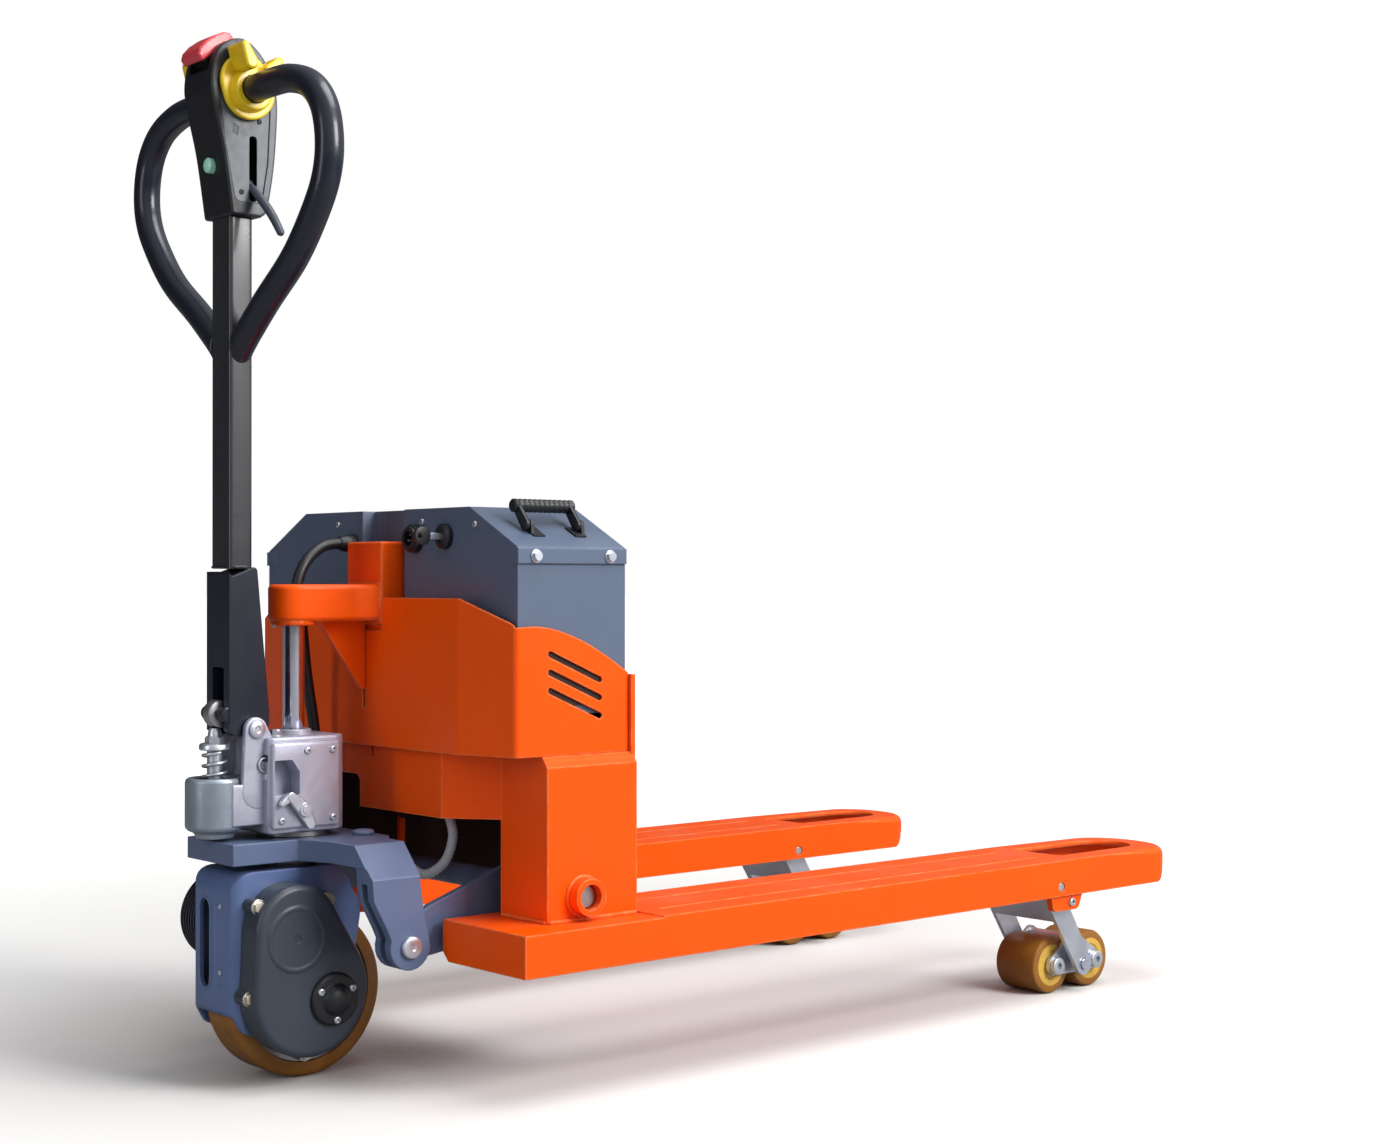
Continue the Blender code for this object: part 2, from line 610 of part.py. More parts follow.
def make_drive_housing():
    """Inverted trough over the wheel: nose with a slot, two side walls that carry the axle."""
    centres, _ = gear_train()
    side_view = [(-202, 250), (-202, 92), (-186, 66), (-168, 58), (-160, 80), (-150, 110)]
    side_view += arc(WHEEL, 24, 200, 360, 8) + [(-52, 150), (-40, 190), (-48, 232), (-70, 250)]
    housing = prism("X", side_view, -40, 58)
    cheek = prism("X", belt((-78, 190, 45), (*COVER_LOBE, 54), (*WHEEL, 46)), 45, 58)
    join(housing, cheek)
    room = [(-197, 245), (-197, 30), (20, 30), (20, 245)]
    cut(housing, prism("X", room, -35, 45), prism("X", [(-150, 40), (20, 40), (20, 60), (-150, 60)], -60, 45))
    nose_slot = belt((-8, 125, 9), (-8, 204, 9))
    low_slot = block((-20, 15), (-215, -150), (50, 76))
    axle_hole = disc("X", WHEEL, 16, -60, 70)
    motor_hole = disc("X", centres["pinion"], 8, -60, 70)
    cut(housing, prism("Y", nose_slot, -215, -190), low_slot, axle_hole, motor_hole)
    join(housing, disc("X", centres["idler"], 6, 50, 88))
    place("drive_housing", housing, "blue_grey_paint", (*STEER, 150))


def make_gear_cover():
    outer = belt((*COVER_LOBE, 57), (*HUB_LOBE, 51), sides=28)
    inner = belt((*COVER_LOBE, 53), (*HUB_LOBE, 48), sides=28)
    cover = prism("X", outer, 58 + GAP, 95)
    centre_boss = disc("X", COVER_LOBE, 28, 94, 96.5)
    lugs = []
    for y, z in ((-186, 148), (-180, 222), (-103, 228), (-118, 52)):
        lugs.append(disc("X", (y, z), 9, 58 + GAP, 78))
    join(cover, centre_boss, *lugs)
    cut(cover, prism("X", inner, 50, 91))
    place("gear_cover", cover, "charcoal_paint", (*STEER, 150))
    profile = [(95 + GAP, 0), (95 + GAP, 31), (101, 29), (102, 18), (110, 13), (112, 8), (112, 0)]
    cap = turned("X", WHEEL, profile)
    place("hub_cap", cap, "black_plastic", (100, -92, 100))


def make_motor():
    profile = [(-98, 0), (-98, 40), (-94, 46)]
    for x in (-92, -66):
        profile += [(x, 54), (x + 14, 54), (x + 15, 50), (x + 23, 50)]
    profile += [(-41, 50), (-41, 0)]
    motor = turned("X", COVER_LOBE, profile)
    centres, _ = gear_train()
    place("drive_motor", cut(motor, disc("X", centres["pinion"], 8, -62, -30)), "black_powder",
          (*STEER, 150))


# ---------------------------------------------------------------- pump
def make_pump():
    plan = [(-50, -150), (50, -150), (50, -58), (38, -45), (-38, -45), (-50, -58)]
    pump = prism("Z", plan, 290, PUMP_TOP)
    neck = disc("Z", STEER, 28, 250 + GAP, 295)
    cylinder = turned("Z", PLUNGER, [(286, 0), (286, 22), (292, 24), (294, 30), (300, 34), (352, 34),
                                     (356, 31), (356, 0)])
    bridge = block((-31, 36), (-192, -139), (301, 349))
    ears = [prism("X", belt((*TILLER, 14), (-148, 380, 18), (-158, 340, 20)), x, x + 8) for x in (-37, 29)]
    gland = disc("Z", STEER, 21, 400, 408)
    side = block((48, 56), (-149, -60), (296, 396))
    join(pump, neck, cylinder, bridge, *ears, gland, side)
    cut(pump, disc("Z", PLUNGER, 25.5, SPRING_SEAT, 362))
    join(pump, disc("Z", PLUNGER, 10.9, SPRING_SEAT - 0.5, 344))
    window = [(-143, 336), (-120, 336), (-120, 362), (-128, 372), (-143, 372)]
    cut(pump, prism("X", window, 30, 60), disc("X", (-150, 378), 4, 20, 45, 12),
        disc("Z", STEER, 13.6, 268, 420), disc("Z", PLUNGER, PLUNGER_R + 0.3, 290, 350, 14),
        disc("X", TILLER, 7.6, -60, 60), disc("X", (-112, 318), 5.4, 45, 60, 12))
    place("pump_body", pump, "pump_alloy", (*STEER, 290))

    cap = 388.0
    plunger = turned("Z", PLUNGER, [(334, 0), (334, PLUNGER_R), (cap, PLUNGER_R), (cap, 18), (cap + 6, 18),
                                    (cap + 8, 16), (cap + 8, 8), (cap + 20, 8), (413.2, 6), (413.2, 0)])
    place("plunger", plunger, "zinc", (*PLUNGER, 334))
    turns, steps, wire, mean = 5, 10, 2.0, 13.4
    low, high = SPRING_SEAT + wire + GAP, cap - wire - GAP
    coil = []
    for i in range(turns * steps + 1):
        a = 2 * math.pi * i / steps
        height = low + (high - low) * i / (turns * steps)
        coil.append((mean * math.cos(a), PLUNGER[1] + mean * math.sin(a), height))
    place("plunger_spring", tube(coil, wire), "steel", (*PLUNGER, SPRING_SEAT))

    pivot = (-112, 318)
    hub = disc("X", pivot, 8, 57, 66)
    stub = disc("X", pivot, 4.8, 47, 60, 12)
    claw = prism("X", belt((-112, 318, 6), (-124, 330, 4), sides=12), 58, 64)
    tail = prism("X", belt((-112, 318, 6), (-104, 300, 4), sides=12), 58, 64)
    place("valve_lever", join(hub, stub, claw, tail), "zinc", (60, *pivot))


# ---------------------------------------------------------------- tiller
def make_tiller():
    side_view = [(-190, 410), (-190, YOKE_TOP), (-154, YOKE_TOP), (-138, 432)]
    side_view += arc((-152, 419), 14, 0, -90, 4) + [(-182, 405)]
    yoke = prism("X", side_view, -27, 27)
    cheeks = prism("X", belt((*PUMP_ROLLER, 9), (-170, 425, 14)), -26, 26)
    join(yoke, cheeks)
    cut(yoke, block((-14, 14), (-220, -150), (395, 484)))
    axle = disc("X", PUMP_ROLLER, 4.5, -20, 20)
    join(yoke, axle)
    place("tiller_yoke", cut(yoke, disc("X", TILLER, 7.6, -40, 40)), "black_powder", (0, *TILLER))
    pin = turned("X", TILLER, [(-41, 0), (-41, 10), (-37.4, 10), (-37.4, 7), (37.4, 7), (37.4, 10), (41, 10),
                               (41, 0)])
    place("tiller_pin", pin, "zinc", (0, *TILLER))
    roller = ring("X", PUMP_ROLLER, 16, 5, -9, 9)
    place("pump_roller", roller, "steel", (0, *PUMP_ROLLER))
    tiller = block((-22.5, 22.5), (-187, -157), (YOKE_TOP + GAP, HEAD_BOTTOM - GAP))
    place("tiller_tube", cut(tiller, block((-19.5, 19.5), (-184, -160), (590, 1020))), "black_powder",
          (0, *TILLER))


def make_handle_loop():
    """Heart-shaped loop: a cross tube through the head and two arms down to the tiller's sides."""
    loop = [(52, GRIP_Z), (90, GRIP_Z + 1), (134, 1148), (178, 1133), (206, 1104), (216, 1063), (208, 1024),
            (180, 984), (140, 944), (80, 903), (34, 868)]
    cross = disc("X", (TUBE_Y, GRIP_Z), 12, -70, 70)
    arms = []
    for s in SIDES.values():
        route = smooth_route([(s * x, TUBE_Y, z) for x, z in loop], 22)
        end = Vector((s * 12, TUBE_Y, 849))
        arm = tube(route + [end], GRIP_R)
        trim = block(sorted((0, s * (22.5 + GAP))), (TUBE_Y - 40, TUBE_Y + 40), (800, 900))
        arms.append(cut(arm, trim))
    place("handle_loop", join(cross, *arms), "black_powder", (0, *TILLER))


def head_profile(inset):
    """Side view of the control head in (Y, Z)."""
    outline = [(-190, HEAD_BOTTOM), (-201, 1078), (-212, 1126), (-217, 1158), (-211, 1190), (-196, 1206),
               (-174, 1211), (-152, 1196), (-137, 1170), (-131, 1138), (-135, 1070), (-144, 1018),
               (-152, HEAD_BOTTOM)]
    middle = Vector((-173, 1110))
    points = []
    for p in outline:
        away = Vector(p) - middle
        shrunk = middle + away * (1 - inset / away.length)
        points.append((shrunk.x, shrunk.y))
    return points


def make_head():
    push = Vector((0.6, -0.8))
    across = Vector((0.8, 0.6))
    corner = Vector((-206, 1202))

    def at(a, b):
        p = corner + push * a + across * b
        return (p.x, p.y)

    halves = {"head_front": (-260, TUBE_Y - GAP / 2), "head_rear": (TUBE_Y + GAP / 2, -100)}
    for name, span in halves.items():
        shell = prism("X", head_profile(0), -34, 34)
        room = prism("X", head_profile(4), -30, 30)
        other = (TUBE_Y - GAP / 2, -60) if name == "head_front" else (-280, TUBE_Y + GAP / 2)
        keep_out = block((-80, 80), other, (980, 1250))
        cut(shell, room, keep_out)
        if name == "head_front":
            wall = block((-30.5, 30.5), (-205, TUBE_Y - GAP / 2), (1010, 1013))
            join(shell, wall)
            cut(shell, prism("X", [at(-30, -26.8), at(-30, 26.8), at(19, 26.8), at(19, -26.8)], -22.8, 22.8),
                disc("Y", (0, 1066), 9.6, -240, -180))
            material = "black_plastic"
        else:
            cut(shell, block((26, 40), (-168, -158), (1024, 1100)))
            material = "charcoal_paint"
        cut(shell, disc("X", (TUBE_Y, GRIP_Z), 18.6, -60, 60))
        place(name, shell, material, (0, *TILLER))

    pad = [at(-2, -26), at(-7, -18), at(-8.5, 0), at(-7, 18), at(-2, 26), at(8, 26), at(8, -26)]
    place("belly_button", prism("X", pad, -22, 22), "red_plastic", (0, corner.x, corner.y))
    button = turned("Y", (0, 1066), [(-206.5, 0), (-206.5, 6), (-205, 9), (-190, 9), (-190, 12), (-188, 12),
                                     (-188, 0)])
    place("horn_button", button, "teal_plastic", (0, -200, 1066))

    lever_route = [(20, -163, 1044), (34, -163, 1038), (52, -161, 1022), (70, -158, 1002), (86, -156, 980)]
    lever = tube(smooth_route(lever_route, 12), 4.6, 1)
    knuckle = disc("Y", (20, 1044), 8, -167.4, -158.6)
    place("lift_lever", join(lever, knuckle), "black_plastic", (20, -163, 1044))


def make_throttle():
    axis = (TUBE_Y, GRIP_Z)
    sleeve = disc("X", axis, 17.8, -45, 45)
    parts, wells = [], []
    for s in SIDES.values():
        span = sorted((s * 34.6, s * 42))
        parts.append(prism("X", belt((TUBE_Y, GRIP_Z, 33), (TUBE_Y - 4, GRIP_Z + 10, 32)), *span))
        parts.append(disc("X", axis, 24, *sorted((s * 41, s * 54))))
        upper = prism("X", belt((-186, 1176, 8), (-194, 1194, 5), sides=12), *sorted((s * 38, s * 74)))
        lower = prism("X", belt((-158, 1172, 7), (-146, 1184, 5), sides=12), *sorted((s * 38, s * 66)))
        parts += [upper, lower]
        wells.append(disc("X", axis, GRIP_R + 0.8, *sorted((s * 49, s * 80))))
    join(sleeve, *parts)
    cut(sleeve, disc("X", axis, 12.8, -80, 80), *wells)
    place("throttle", sleeve, "yellow_plastic", (0, *axis))


# ---------------------------------------------------------------- cables
def make_cables():
    cable = [(GLAND[0], 46, GLAND[1]), (GLAND[0], 14, GLAND[1]), (-66, -12, 626), (-58, -42, 606), (-52, -60, 574),
             (-50, -62, 530), (-54, -52, 470), (-60, -32, 410), (-62, -18, 350), (-60, -15, 310),
             (-60, -15, 284)]
    place("power_cable", tube(smooth_route(cable, 16), 7), "black_plastic")
    conduit = [(100, 60, 376.4), (100, 60, 340), (101, 64, 304), (104, 68, 276), (101, 58, 246), (94, 34, 232),
               (88, 14, 246), (85, 3, 262), (84, -8, 270)]
    place("harness_conduit", tube(smooth_route(conduit, 14), 6), "pump_alloy")


def main():
    clear_scene()
    make_materials()
    truck = bpy.data.objects.new("truck", None)
    bpy.context.scene.collection.objects.link(truck)
    ROOT["truck"] = truck
    truck.location = (0.0, -MID_Y * MM, 0.0)

    for name, s in SIDES.items():
        make_fork("fork_" + name, s)
        make_pushrod(name, s)
        make_load_arm(name, s)
        make_bogie(name, s)
    make_chassis_frame()
    make_body_shell()
    make_battery_cover()
    make_cover_fittings()
    make_battery()
    make_crosshead()
    make_base()
    make_rocker()
    make_gears()
    make_drive_wheel()
    make_drive_housing()
    make_gear_cover()
    make_motor()
    make_pump()
    make_tiller()
    make_handle_loop()
    make_head()
    make_throttle()
    make_cables()


main()
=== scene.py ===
"""Looks of the semi-electric pallet truck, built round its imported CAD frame.

Lengths are millimetres in the truck's own frame: X across, Y from the front of the fork heels towards the
fork tips, Z up from the floor. point() turns them into metres in the row frame. Camera, lights, floor and
node settings are in metres.
"""
import json
import math
import random

import bpy
from mathutils import Matrix, Vector


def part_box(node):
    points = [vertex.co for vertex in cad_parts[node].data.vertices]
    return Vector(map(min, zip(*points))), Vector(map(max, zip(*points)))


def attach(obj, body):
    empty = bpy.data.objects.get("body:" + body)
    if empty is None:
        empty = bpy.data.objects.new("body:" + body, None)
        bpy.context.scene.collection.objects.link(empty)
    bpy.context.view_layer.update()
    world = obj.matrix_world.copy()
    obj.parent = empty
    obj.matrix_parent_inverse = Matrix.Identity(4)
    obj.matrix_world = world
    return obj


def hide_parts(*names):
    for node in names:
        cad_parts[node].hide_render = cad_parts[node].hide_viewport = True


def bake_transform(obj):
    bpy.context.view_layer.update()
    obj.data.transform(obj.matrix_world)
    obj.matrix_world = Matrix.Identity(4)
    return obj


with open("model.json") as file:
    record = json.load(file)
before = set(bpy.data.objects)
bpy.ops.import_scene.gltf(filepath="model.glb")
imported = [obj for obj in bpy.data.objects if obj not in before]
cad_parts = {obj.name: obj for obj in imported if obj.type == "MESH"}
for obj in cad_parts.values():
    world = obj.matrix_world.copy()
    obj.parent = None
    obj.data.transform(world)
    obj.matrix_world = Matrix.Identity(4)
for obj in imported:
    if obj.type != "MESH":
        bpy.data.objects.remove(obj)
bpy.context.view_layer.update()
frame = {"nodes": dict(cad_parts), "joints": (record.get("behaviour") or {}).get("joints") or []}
NODES = frame["nodes"]
JOINTS = {joint["name"]: joint for joint in frame["joints"]}

MM = 0.001
HEEL_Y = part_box("fork_right")[0].y       # row Y of the fork heels' front edge
SIDES = {"left": -1, "right": 1}
X, Y, Z = Vector((1, 0, 0)), Vector((0, 1, 0)), Vector((0, 0, 1))
random.seed(4)


def point(p):
    return Vector((p[0] * MM, HEEL_Y + p[1] * MM, p[2] * MM))


def pivot(joint):
    """A hinge's place in truck millimetres."""
    x, y, z = JOINTS[joint]["pos_m"]
    return Vector((x, y - HEEL_Y, z)) / MM


def span(node):
    """Lowest and highest corner of a CAD node in truck millimetres."""
    return [Vector((c.x, c.y - HEEL_Y, c.z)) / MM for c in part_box(node)]


def middle(node):
    low, high = span(node)
    return (low + high) / 2


def seen_along(axis, place):
    """A place as it is seen along an axis, which is what an outline needs."""
    return {"X": (place.y, place.z), "Y": (place.x, place.z), "Z": (place.x, place.y)}[axis]


def fine_middle(axis, node):
    """A CAD node's middle as it is seen along an axis, finer than a Vector holds it."""
    low, high = (seen_along(axis, corner) for corner in span(node))
    return ((low[0] + high[0]) / 2, (low[1] + high[1]) / 2)


# ---------------- main places, read from the frame
FORK_X = pivot("arm_right_turn").x
ARM = seen_along("X", pivot("arm_right_turn"))
ROCKER = seen_along("X", pivot("rocker_turn"))
STEER = seen_along("Z", pivot("steer"))
WHEEL = seen_along("X", pivot("drive_wheel_spin"))
TILLER = seen_along("X", pivot("tiller_tilt"))
PUMP_ROLLER = seen_along("X", pivot("pump_roller_spin"))
GRIP = seen_along("X", pivot("throttle_turn"))
KEY = seen_along("Y", pivot("key_turn"))
LID = seen_along("Y", pivot("lid_handle_fold"))
BASE_PIN = seen_along("X", middle("base_pin_right"))
PLUNGER = seen_along("Z", middle("plunger"))
IDLER = fine_middle("X", "idler_gear")
PINION = fine_middle("X", "motor_pinion")
TUBE_Y = GRIP[0]

# ---------------- places and sizes of the shapes, in mm
COVER_SHOULDER = (279.0, 623.0)      # where the lid's side meets its slope, in (X, Z)
COVER_FLAT = (184.0, 671.0)          # where the slope meets the lid's top
UPPER_LOBE = (-137.0, 182.0)         # upper and lower lobes of the gear case, in (Y, Z)
LOWER_LOBE = (-119.0, 110.0)
CASE_DISC = (-140.0, 174.0)          # raised disc on the gear case
CASE_LUGS = ((-192, 110), (-181, 213), (-90, 213), (-120, 38))
VALVE = (-112.0, 318.0)              # release valve's shaft on the pump, in (Y, Z)
PUMP_TOP = 402.0
SPRING_SEAT, SPRING_CAP = 322.0, 388.0
HEAD_HALF = 34.0                     # half the control head's width
HEAD_GAP = 0.18                      # half the parting line between the head's two shells
HORN_Z = 1066
BASE_TOP = 283.2
FORK_BOTTOM, FORK_SKIN = 145.0, 6.0
OPENING_START, OPENING_END = 965, 1112   # Y of the fork opening's square end and of its round end's middle
OPENING_HALF = 44
YOKE_TOP = 600

# ---------------- camera, light and floor
CAMERA_PLACE = (2.2006, -1.8621, 0.586)
CAMERA_TURN = (90.2, 0.0, 48.8)      # degrees
CAMERA_LENS = 54.12
PALE = (1.0, 1.0, 0.995, 1.0)        # floor and background as the camera sees them
BRIGHT_SIDE = (0.76, 0.34, 0.55)     # direction that the room's light comes from
# soft boxes: place, aim, size, watts, colour
LIGHTS = {
    "key": ((3.2, 0.9, 2.3), (0.1, -0.1, 0.4), (1.6, 1.6), 125.0, (1.0, 0.985, 0.96)),
    "top": ((0.9, 0.3, 3.4), (0.0, -0.1, 0.0), (1.8, 1.8), 60.0, (1.0, 1.0, 1.0)),
    "front": ((0.2, -3.2, 1.2), (0.0, -0.3, 0.5), (0.6, 2.0), 13.0, (0.95, 0.95, 1.0)),
}


def add_node(tree, kind, inputs=None, **settings):
    """New shader node. Each input takes a plain value or another node's output."""
    node = tree.nodes.new("ShaderNode" + kind)
    for name, value in settings.items():
        setattr(node, name, value)
    for socket, value in (inputs or {}).items():
        if isinstance(value, bpy.types.NodeSocket):
            tree.links.new(value, node.inputs[socket])
        else:
            node.inputs[socket].default_value = value
    return node


def make_camera():
    data = bpy.data.cameras.new("camera")
    data.sensor_width = 36.0
    data.lens = CAMERA_LENS
    data.clip_start, data.clip_end = 0.05, 200.0
    camera = bpy.data.objects.new("camera", data)
    camera.location = CAMERA_PLACE
    camera.rotation_euler = [math.radians(a) for a in CAMERA_TURN]
    bpy.context.scene.collection.objects.link(camera)
    bpy.context.scene.camera = camera


def make_light():
    """Three soft boxes in a room lit from one side; the camera sees the room as plain white."""
    world = bpy.data.worlds.new("studio")
    bpy.context.scene.world = world
    world.use_nodes = True
    tree = world.node_tree
    room = tree.nodes["Background"]
    room.inputs["Color"].default_value = (1.0, 1.0, 1.0, 1.0)
    way = add_node(tree, "TexCoord").outputs["Generated"]
    towards = add_node(tree, "VectorMath", {0: way, 1: BRIGHT_SIDE}, operation="DOT_PRODUCT").outputs["Value"]
    levels = {"From Min": -0.35, "To Min": 0.05, "To Max": 0.78}
    strength = add_node(tree, "MapRange", {"Value": towards, **levels}).outputs["Result"]
    tree.links.new(strength, room.inputs["Strength"])
    seen = add_node(tree, "Background", {"Color": PALE, "Strength": 1.0})
    rays = add_node(tree, "LightPath").outputs["Is Camera Ray"]
    lit, white = room.outputs["Background"], seen.outputs["Background"]
    mix = add_node(tree, "MixShader", {"Fac": rays, 1: lit, 2: white})
    tree.links.new(mix.outputs["Shader"], tree.nodes["World Output"].inputs["Surface"])
    for name, (place, aim, size, watts, colour) in LIGHTS.items():
        data = bpy.data.lights.new(name, "AREA")
        data.shape = "RECTANGLE"
        data.size, data.size_y = size
        data.energy = watts
        data.color = colour
        light = bpy.data.objects.new(name, data)
        light.location = place
        light.rotation_euler = (Vector(aim) - Vector(place)).to_track_quat("-Z", "Y").to_euler()
        bpy.context.scene.collection.objects.link(light)
    view = bpy.context.scene.view_settings
    view.view_transform = "Standard"
    view.look = "None"


def make_floor():
    """Pale floor that fades into the background; the truck's paint reflects a darker one."""
    mesh = bpy.data.meshes.new("floor")
    far = 60.0
    mesh.from_pydata([(-far, -far, 0), (far, -far, 0), (far, far, 0), (-far, far, 0)], [], [(0, 1, 2, 3)])
    floor = bpy.data.objects.new("floor", mesh)
    floor.location.z = -0.0005
    bpy.context.scene.collection.objects.link(floor)
    s = Shader("floor_paint", 0.9)
    s.set({"Base Color": (0.8, 0.795, 0.79, 1.0), "Specular IOR Level": 0.05, "Emission Color": PALE})
    distance = s.add("VectorMath", {0: s.place}, operation="LENGTH").outputs["Value"]
    s.link(s.ramp(distance, 0.8, 3.0, 0.0, 0.8), "Emission Strength")
    dark = s.add("BsdfDiffuse", {"Color": (0.3, 0.3, 0.31, 1.0)}).outputs["BSDF"]
    rays = s.add("LightPath").outputs["Is Camera Ray"]
    mix = s.add("MixShader", {"Fac": rays, 1: dark, 2: s.base.outputs["BSDF"]})
    s.tree.links.new(mix.outputs["Shader"], s.tree.nodes["Material Output"].inputs["Surface"])
    mesh.materials.append(s.material)


# ---------------- materials
class Shader:
    """One material's node tree, with the few node patterns that the finishes share."""

    def __init__(self, name, roughness, metallic=0.0, coat=0.0, coat_roughness=0.1, soft_edge=0.0008):
        self.soft_edge = soft_edge
        self.material = bpy.data.materials.new(name)
        self.material.use_nodes = True
        self.tree = self.material.node_tree
        self.base = self.tree.nodes["Principled BSDF"]
        self.set({"Roughness": roughness, "Metallic": metallic, "Coat Weight": coat,
                  "Coat Roughness": coat_roughness})
        self.place = self.add("TexCoord").outputs["Object"]

    def add(self, kind, inputs=None, **settings):
        return add_node(self.tree, kind, inputs, **settings)

    def set(self, values):
        for socket, value in values.items():
            self.base.inputs[socket].default_value = value

    def link(self, output, socket):
        self.tree.links.new(output, self.base.inputs[socket])

    def noise(self, scale, detail=3.0, stretch=None):
        place = self.place
        if stretch:
            place = self.add("Mapping", {"Vector": place, "Scale": stretch}).outputs["Vector"]
        return self.add("TexNoise", {"Vector": place, "Scale": scale, "Detail": detail}).outputs["Fac"]

    def ramp(self, value, low, high, start=0.0, end=1.0):
        limits = {"From Min": low, "From Max": high, "To Min": start, "To Max": end}
        return self.add("MapRange", {"Value": value, **limits}).outputs["Result"]

    def times(self, first, second):
        return self.add("Math", {0: first, 1: second}, operation="MULTIPLY").outputs["Value"]

    def mix(self, factor, *colours):
        first, second = ((*c, 1.0) if isinstance(c, tuple) else c for c in colours)
        return self.add("Mix", {"Factor": factor, 6: first, 7: second}, data_type="RGBA").outputs[2]

    def edges(self):
        """1 on edges, broken up by noise: where lighter colour goes, partly edge wear and partly a painted
        highlight.
        """
        soft = self.add("Bevel", {"Radius": 0.003}, samples=3).outputs["Normal"]
        flat = self.add("NewGeometry").outputs["Normal"]
        same = self.add("VectorMath", {0: soft, 1: flat}, operation="DOT_PRODUCT").outputs["Value"]
        broken = self.ramp(self.noise(60.0, 5.0), 0.38, 0.62, 0.3, 1.0)
        return self.times(self.ramp(same, 0.995, 0.92), broken)

    def painted_corner_shade(self):
        """1 deep in corners and gaps, read from ambient occlusion: where painted shade goes."""
        shade = self.add("AmbientOcclusion", {"Distance": 0.016}, samples=4)
        return self.ramp(shade.outputs["AO"], 0.75, 0.2)

    def upward(self):
        """1 on faces that look up."""
        normal = self.add("NewGeometry").outputs["Normal"]
        return self.ramp(self.add("SeparateXYZ", {"Vector": normal}).outputs["Z"], 0.4, 1.0)

    def bump(self, *layers):
        """Each layer is (height socket, strength, distance in metres); they lie on softened edges."""
        normal = self.add("Bevel", {"Radius": self.soft_edge}, samples=4).outputs["Normal"]
        for height, strength, distance in layers:
            inputs = {"Strength": strength, "Distance": distance, "Height": height, "Normal": normal}
            normal = self.add("Bump", inputs).outputs["Normal"]
        self.link(normal, "Normal")

    def cloudy(self, scale, detail, low, first, second):
        """Two tones that drift into each other."""
        return self.mix(self.ramp(self.noise(scale, detail), low, 1.0 - low), first, second)

    def vary_roughness(self, low, high, scale=35.0):
        self.link(self.ramp(self.noise(scale, 4.0), 0.3, 0.7, low, high), "Roughness")


def scaled(colour, factor):
    return tuple(min(1.0, c * factor) for c in colour)


def paint(name, colour, roughness, coat=0.4, worn_and_lit_edge=None, peel=0.12, depth=0.12, shine=0.5):
    """Powder coat: orange peel, a little mottling, painted shade in corners and gaps, and lighter edges that
    are partly wear and partly a painted highlight.
    """
    s = Shader(name, roughness, coat=coat, coat_roughness=0.12, soft_edge=0.0025)
    s.set({"Specular IOR Level": shine})
    base = s.cloudy(9.0, 5.0, 0.3, scaled(colour, 1.0 - depth), scaled(colour, 1.0 + depth))
    # painted shade: darker colour deep in corners and gaps
    base = s.mix(s.times(s.painted_corner_shade(), 0.6), base, scaled(colour, 0.45))
    # lighter edges: partly wear, partly a painted highlight
    base = s.mix(s.times(s.edges(), 0.7), base, worn_and_lit_edge or scaled(colour, 1.6))
    dust = s.times(s.upward(), s.ramp(s.noise(14.0, 6.0), 0.45, 0.75, 0.0, 0.06))
    s.link(s.mix(dust, base, (0.55, 0.52, 0.48)), "Base Color")
    s.vary_roughness(roughness - 0.03, roughness + 0.04)
    s.bump((s.noise(420.0, 2.0), peel, 0.0002))
    return s.material


def bright_metal(name, colour, roughness, tint, grain=(1.0, 1.0, 1.0), metallic=0.9):
    """Plated or machined metal with a fine grain and a slightly iridescent tint."""
    s = Shader(name, roughness, metallic=metallic)
    base = s.cloudy(28.0, 4.0, 0.35, colour, tint)
    # painted shade: darker colour deep in corners and gaps
    s.link(s.mix(s.times(s.painted_corner_shade(), 0.7), base, scaled(colour, 0.35)), "Base Color")
    s.vary_roughness(roughness - 0.06, roughness + 0.12, 60.0)
    s.bump((s.noise(700.0, 2.0, grain), 0.12, 0.0004), (s.noise(50.0, 2.0), 0.05, 0.001))
    return s.material


def casting(name, colour, roughness, tint, metallic):
    """Sand-cast alloy: pitted skin, cloudy colour, painted shade in its corners."""
    s = Shader(name, roughness, metallic=metallic)
    base = s.cloudy(16.0, 6.0, 0.3, colour, tint)
    # painted shade: darker colour deep in corners and gaps
    base = s.mix(s.times(s.painted_corner_shade(), 0.75), base, scaled(colour, 0.3))
    # lighter edges: partly wear, partly a painted highlight
    s.link(s.mix(s.times(s.edges(), 0.5), base, scaled(colour, 1.5)), "Base Color")
    s.vary_roughness(roughness - 0.1, roughness + 0.1, 80.0)
    s.bump((s.noise(260.0, 5.0), 0.28, 0.0008), (s.noise(35.0, 3.0), 0.12, 0.002))
    return s.material


def plastic(name, colour, roughness, coat=0.0, depth=0.1):
    """Moulded plastic with a fine spark-eroded grain."""
    s = Shader(name, roughness, coat=coat)
    base = s.cloudy(20.0, 4.0, 0.3, scaled(colour, 1.0 - depth), scaled(colour, 1.0 + depth))
    # painted shade: darker colour deep in corners and gaps
    base = s.mix(s.times(s.painted_corner_shade(), 0.5), base, scaled(colour, 0.4))
    # lighter edges: partly wear, partly a painted highlight
    s.link(s.mix(s.times(s.edges(), 0.35), base, scaled(colour, 1.8)), "Base Color")
    s.vary_roughness(roughness - 0.05, roughness + 0.08, 90.0)
    s.bump((s.noise(1300.0, 2.0), 0.15, 0.0004))
    return s.material


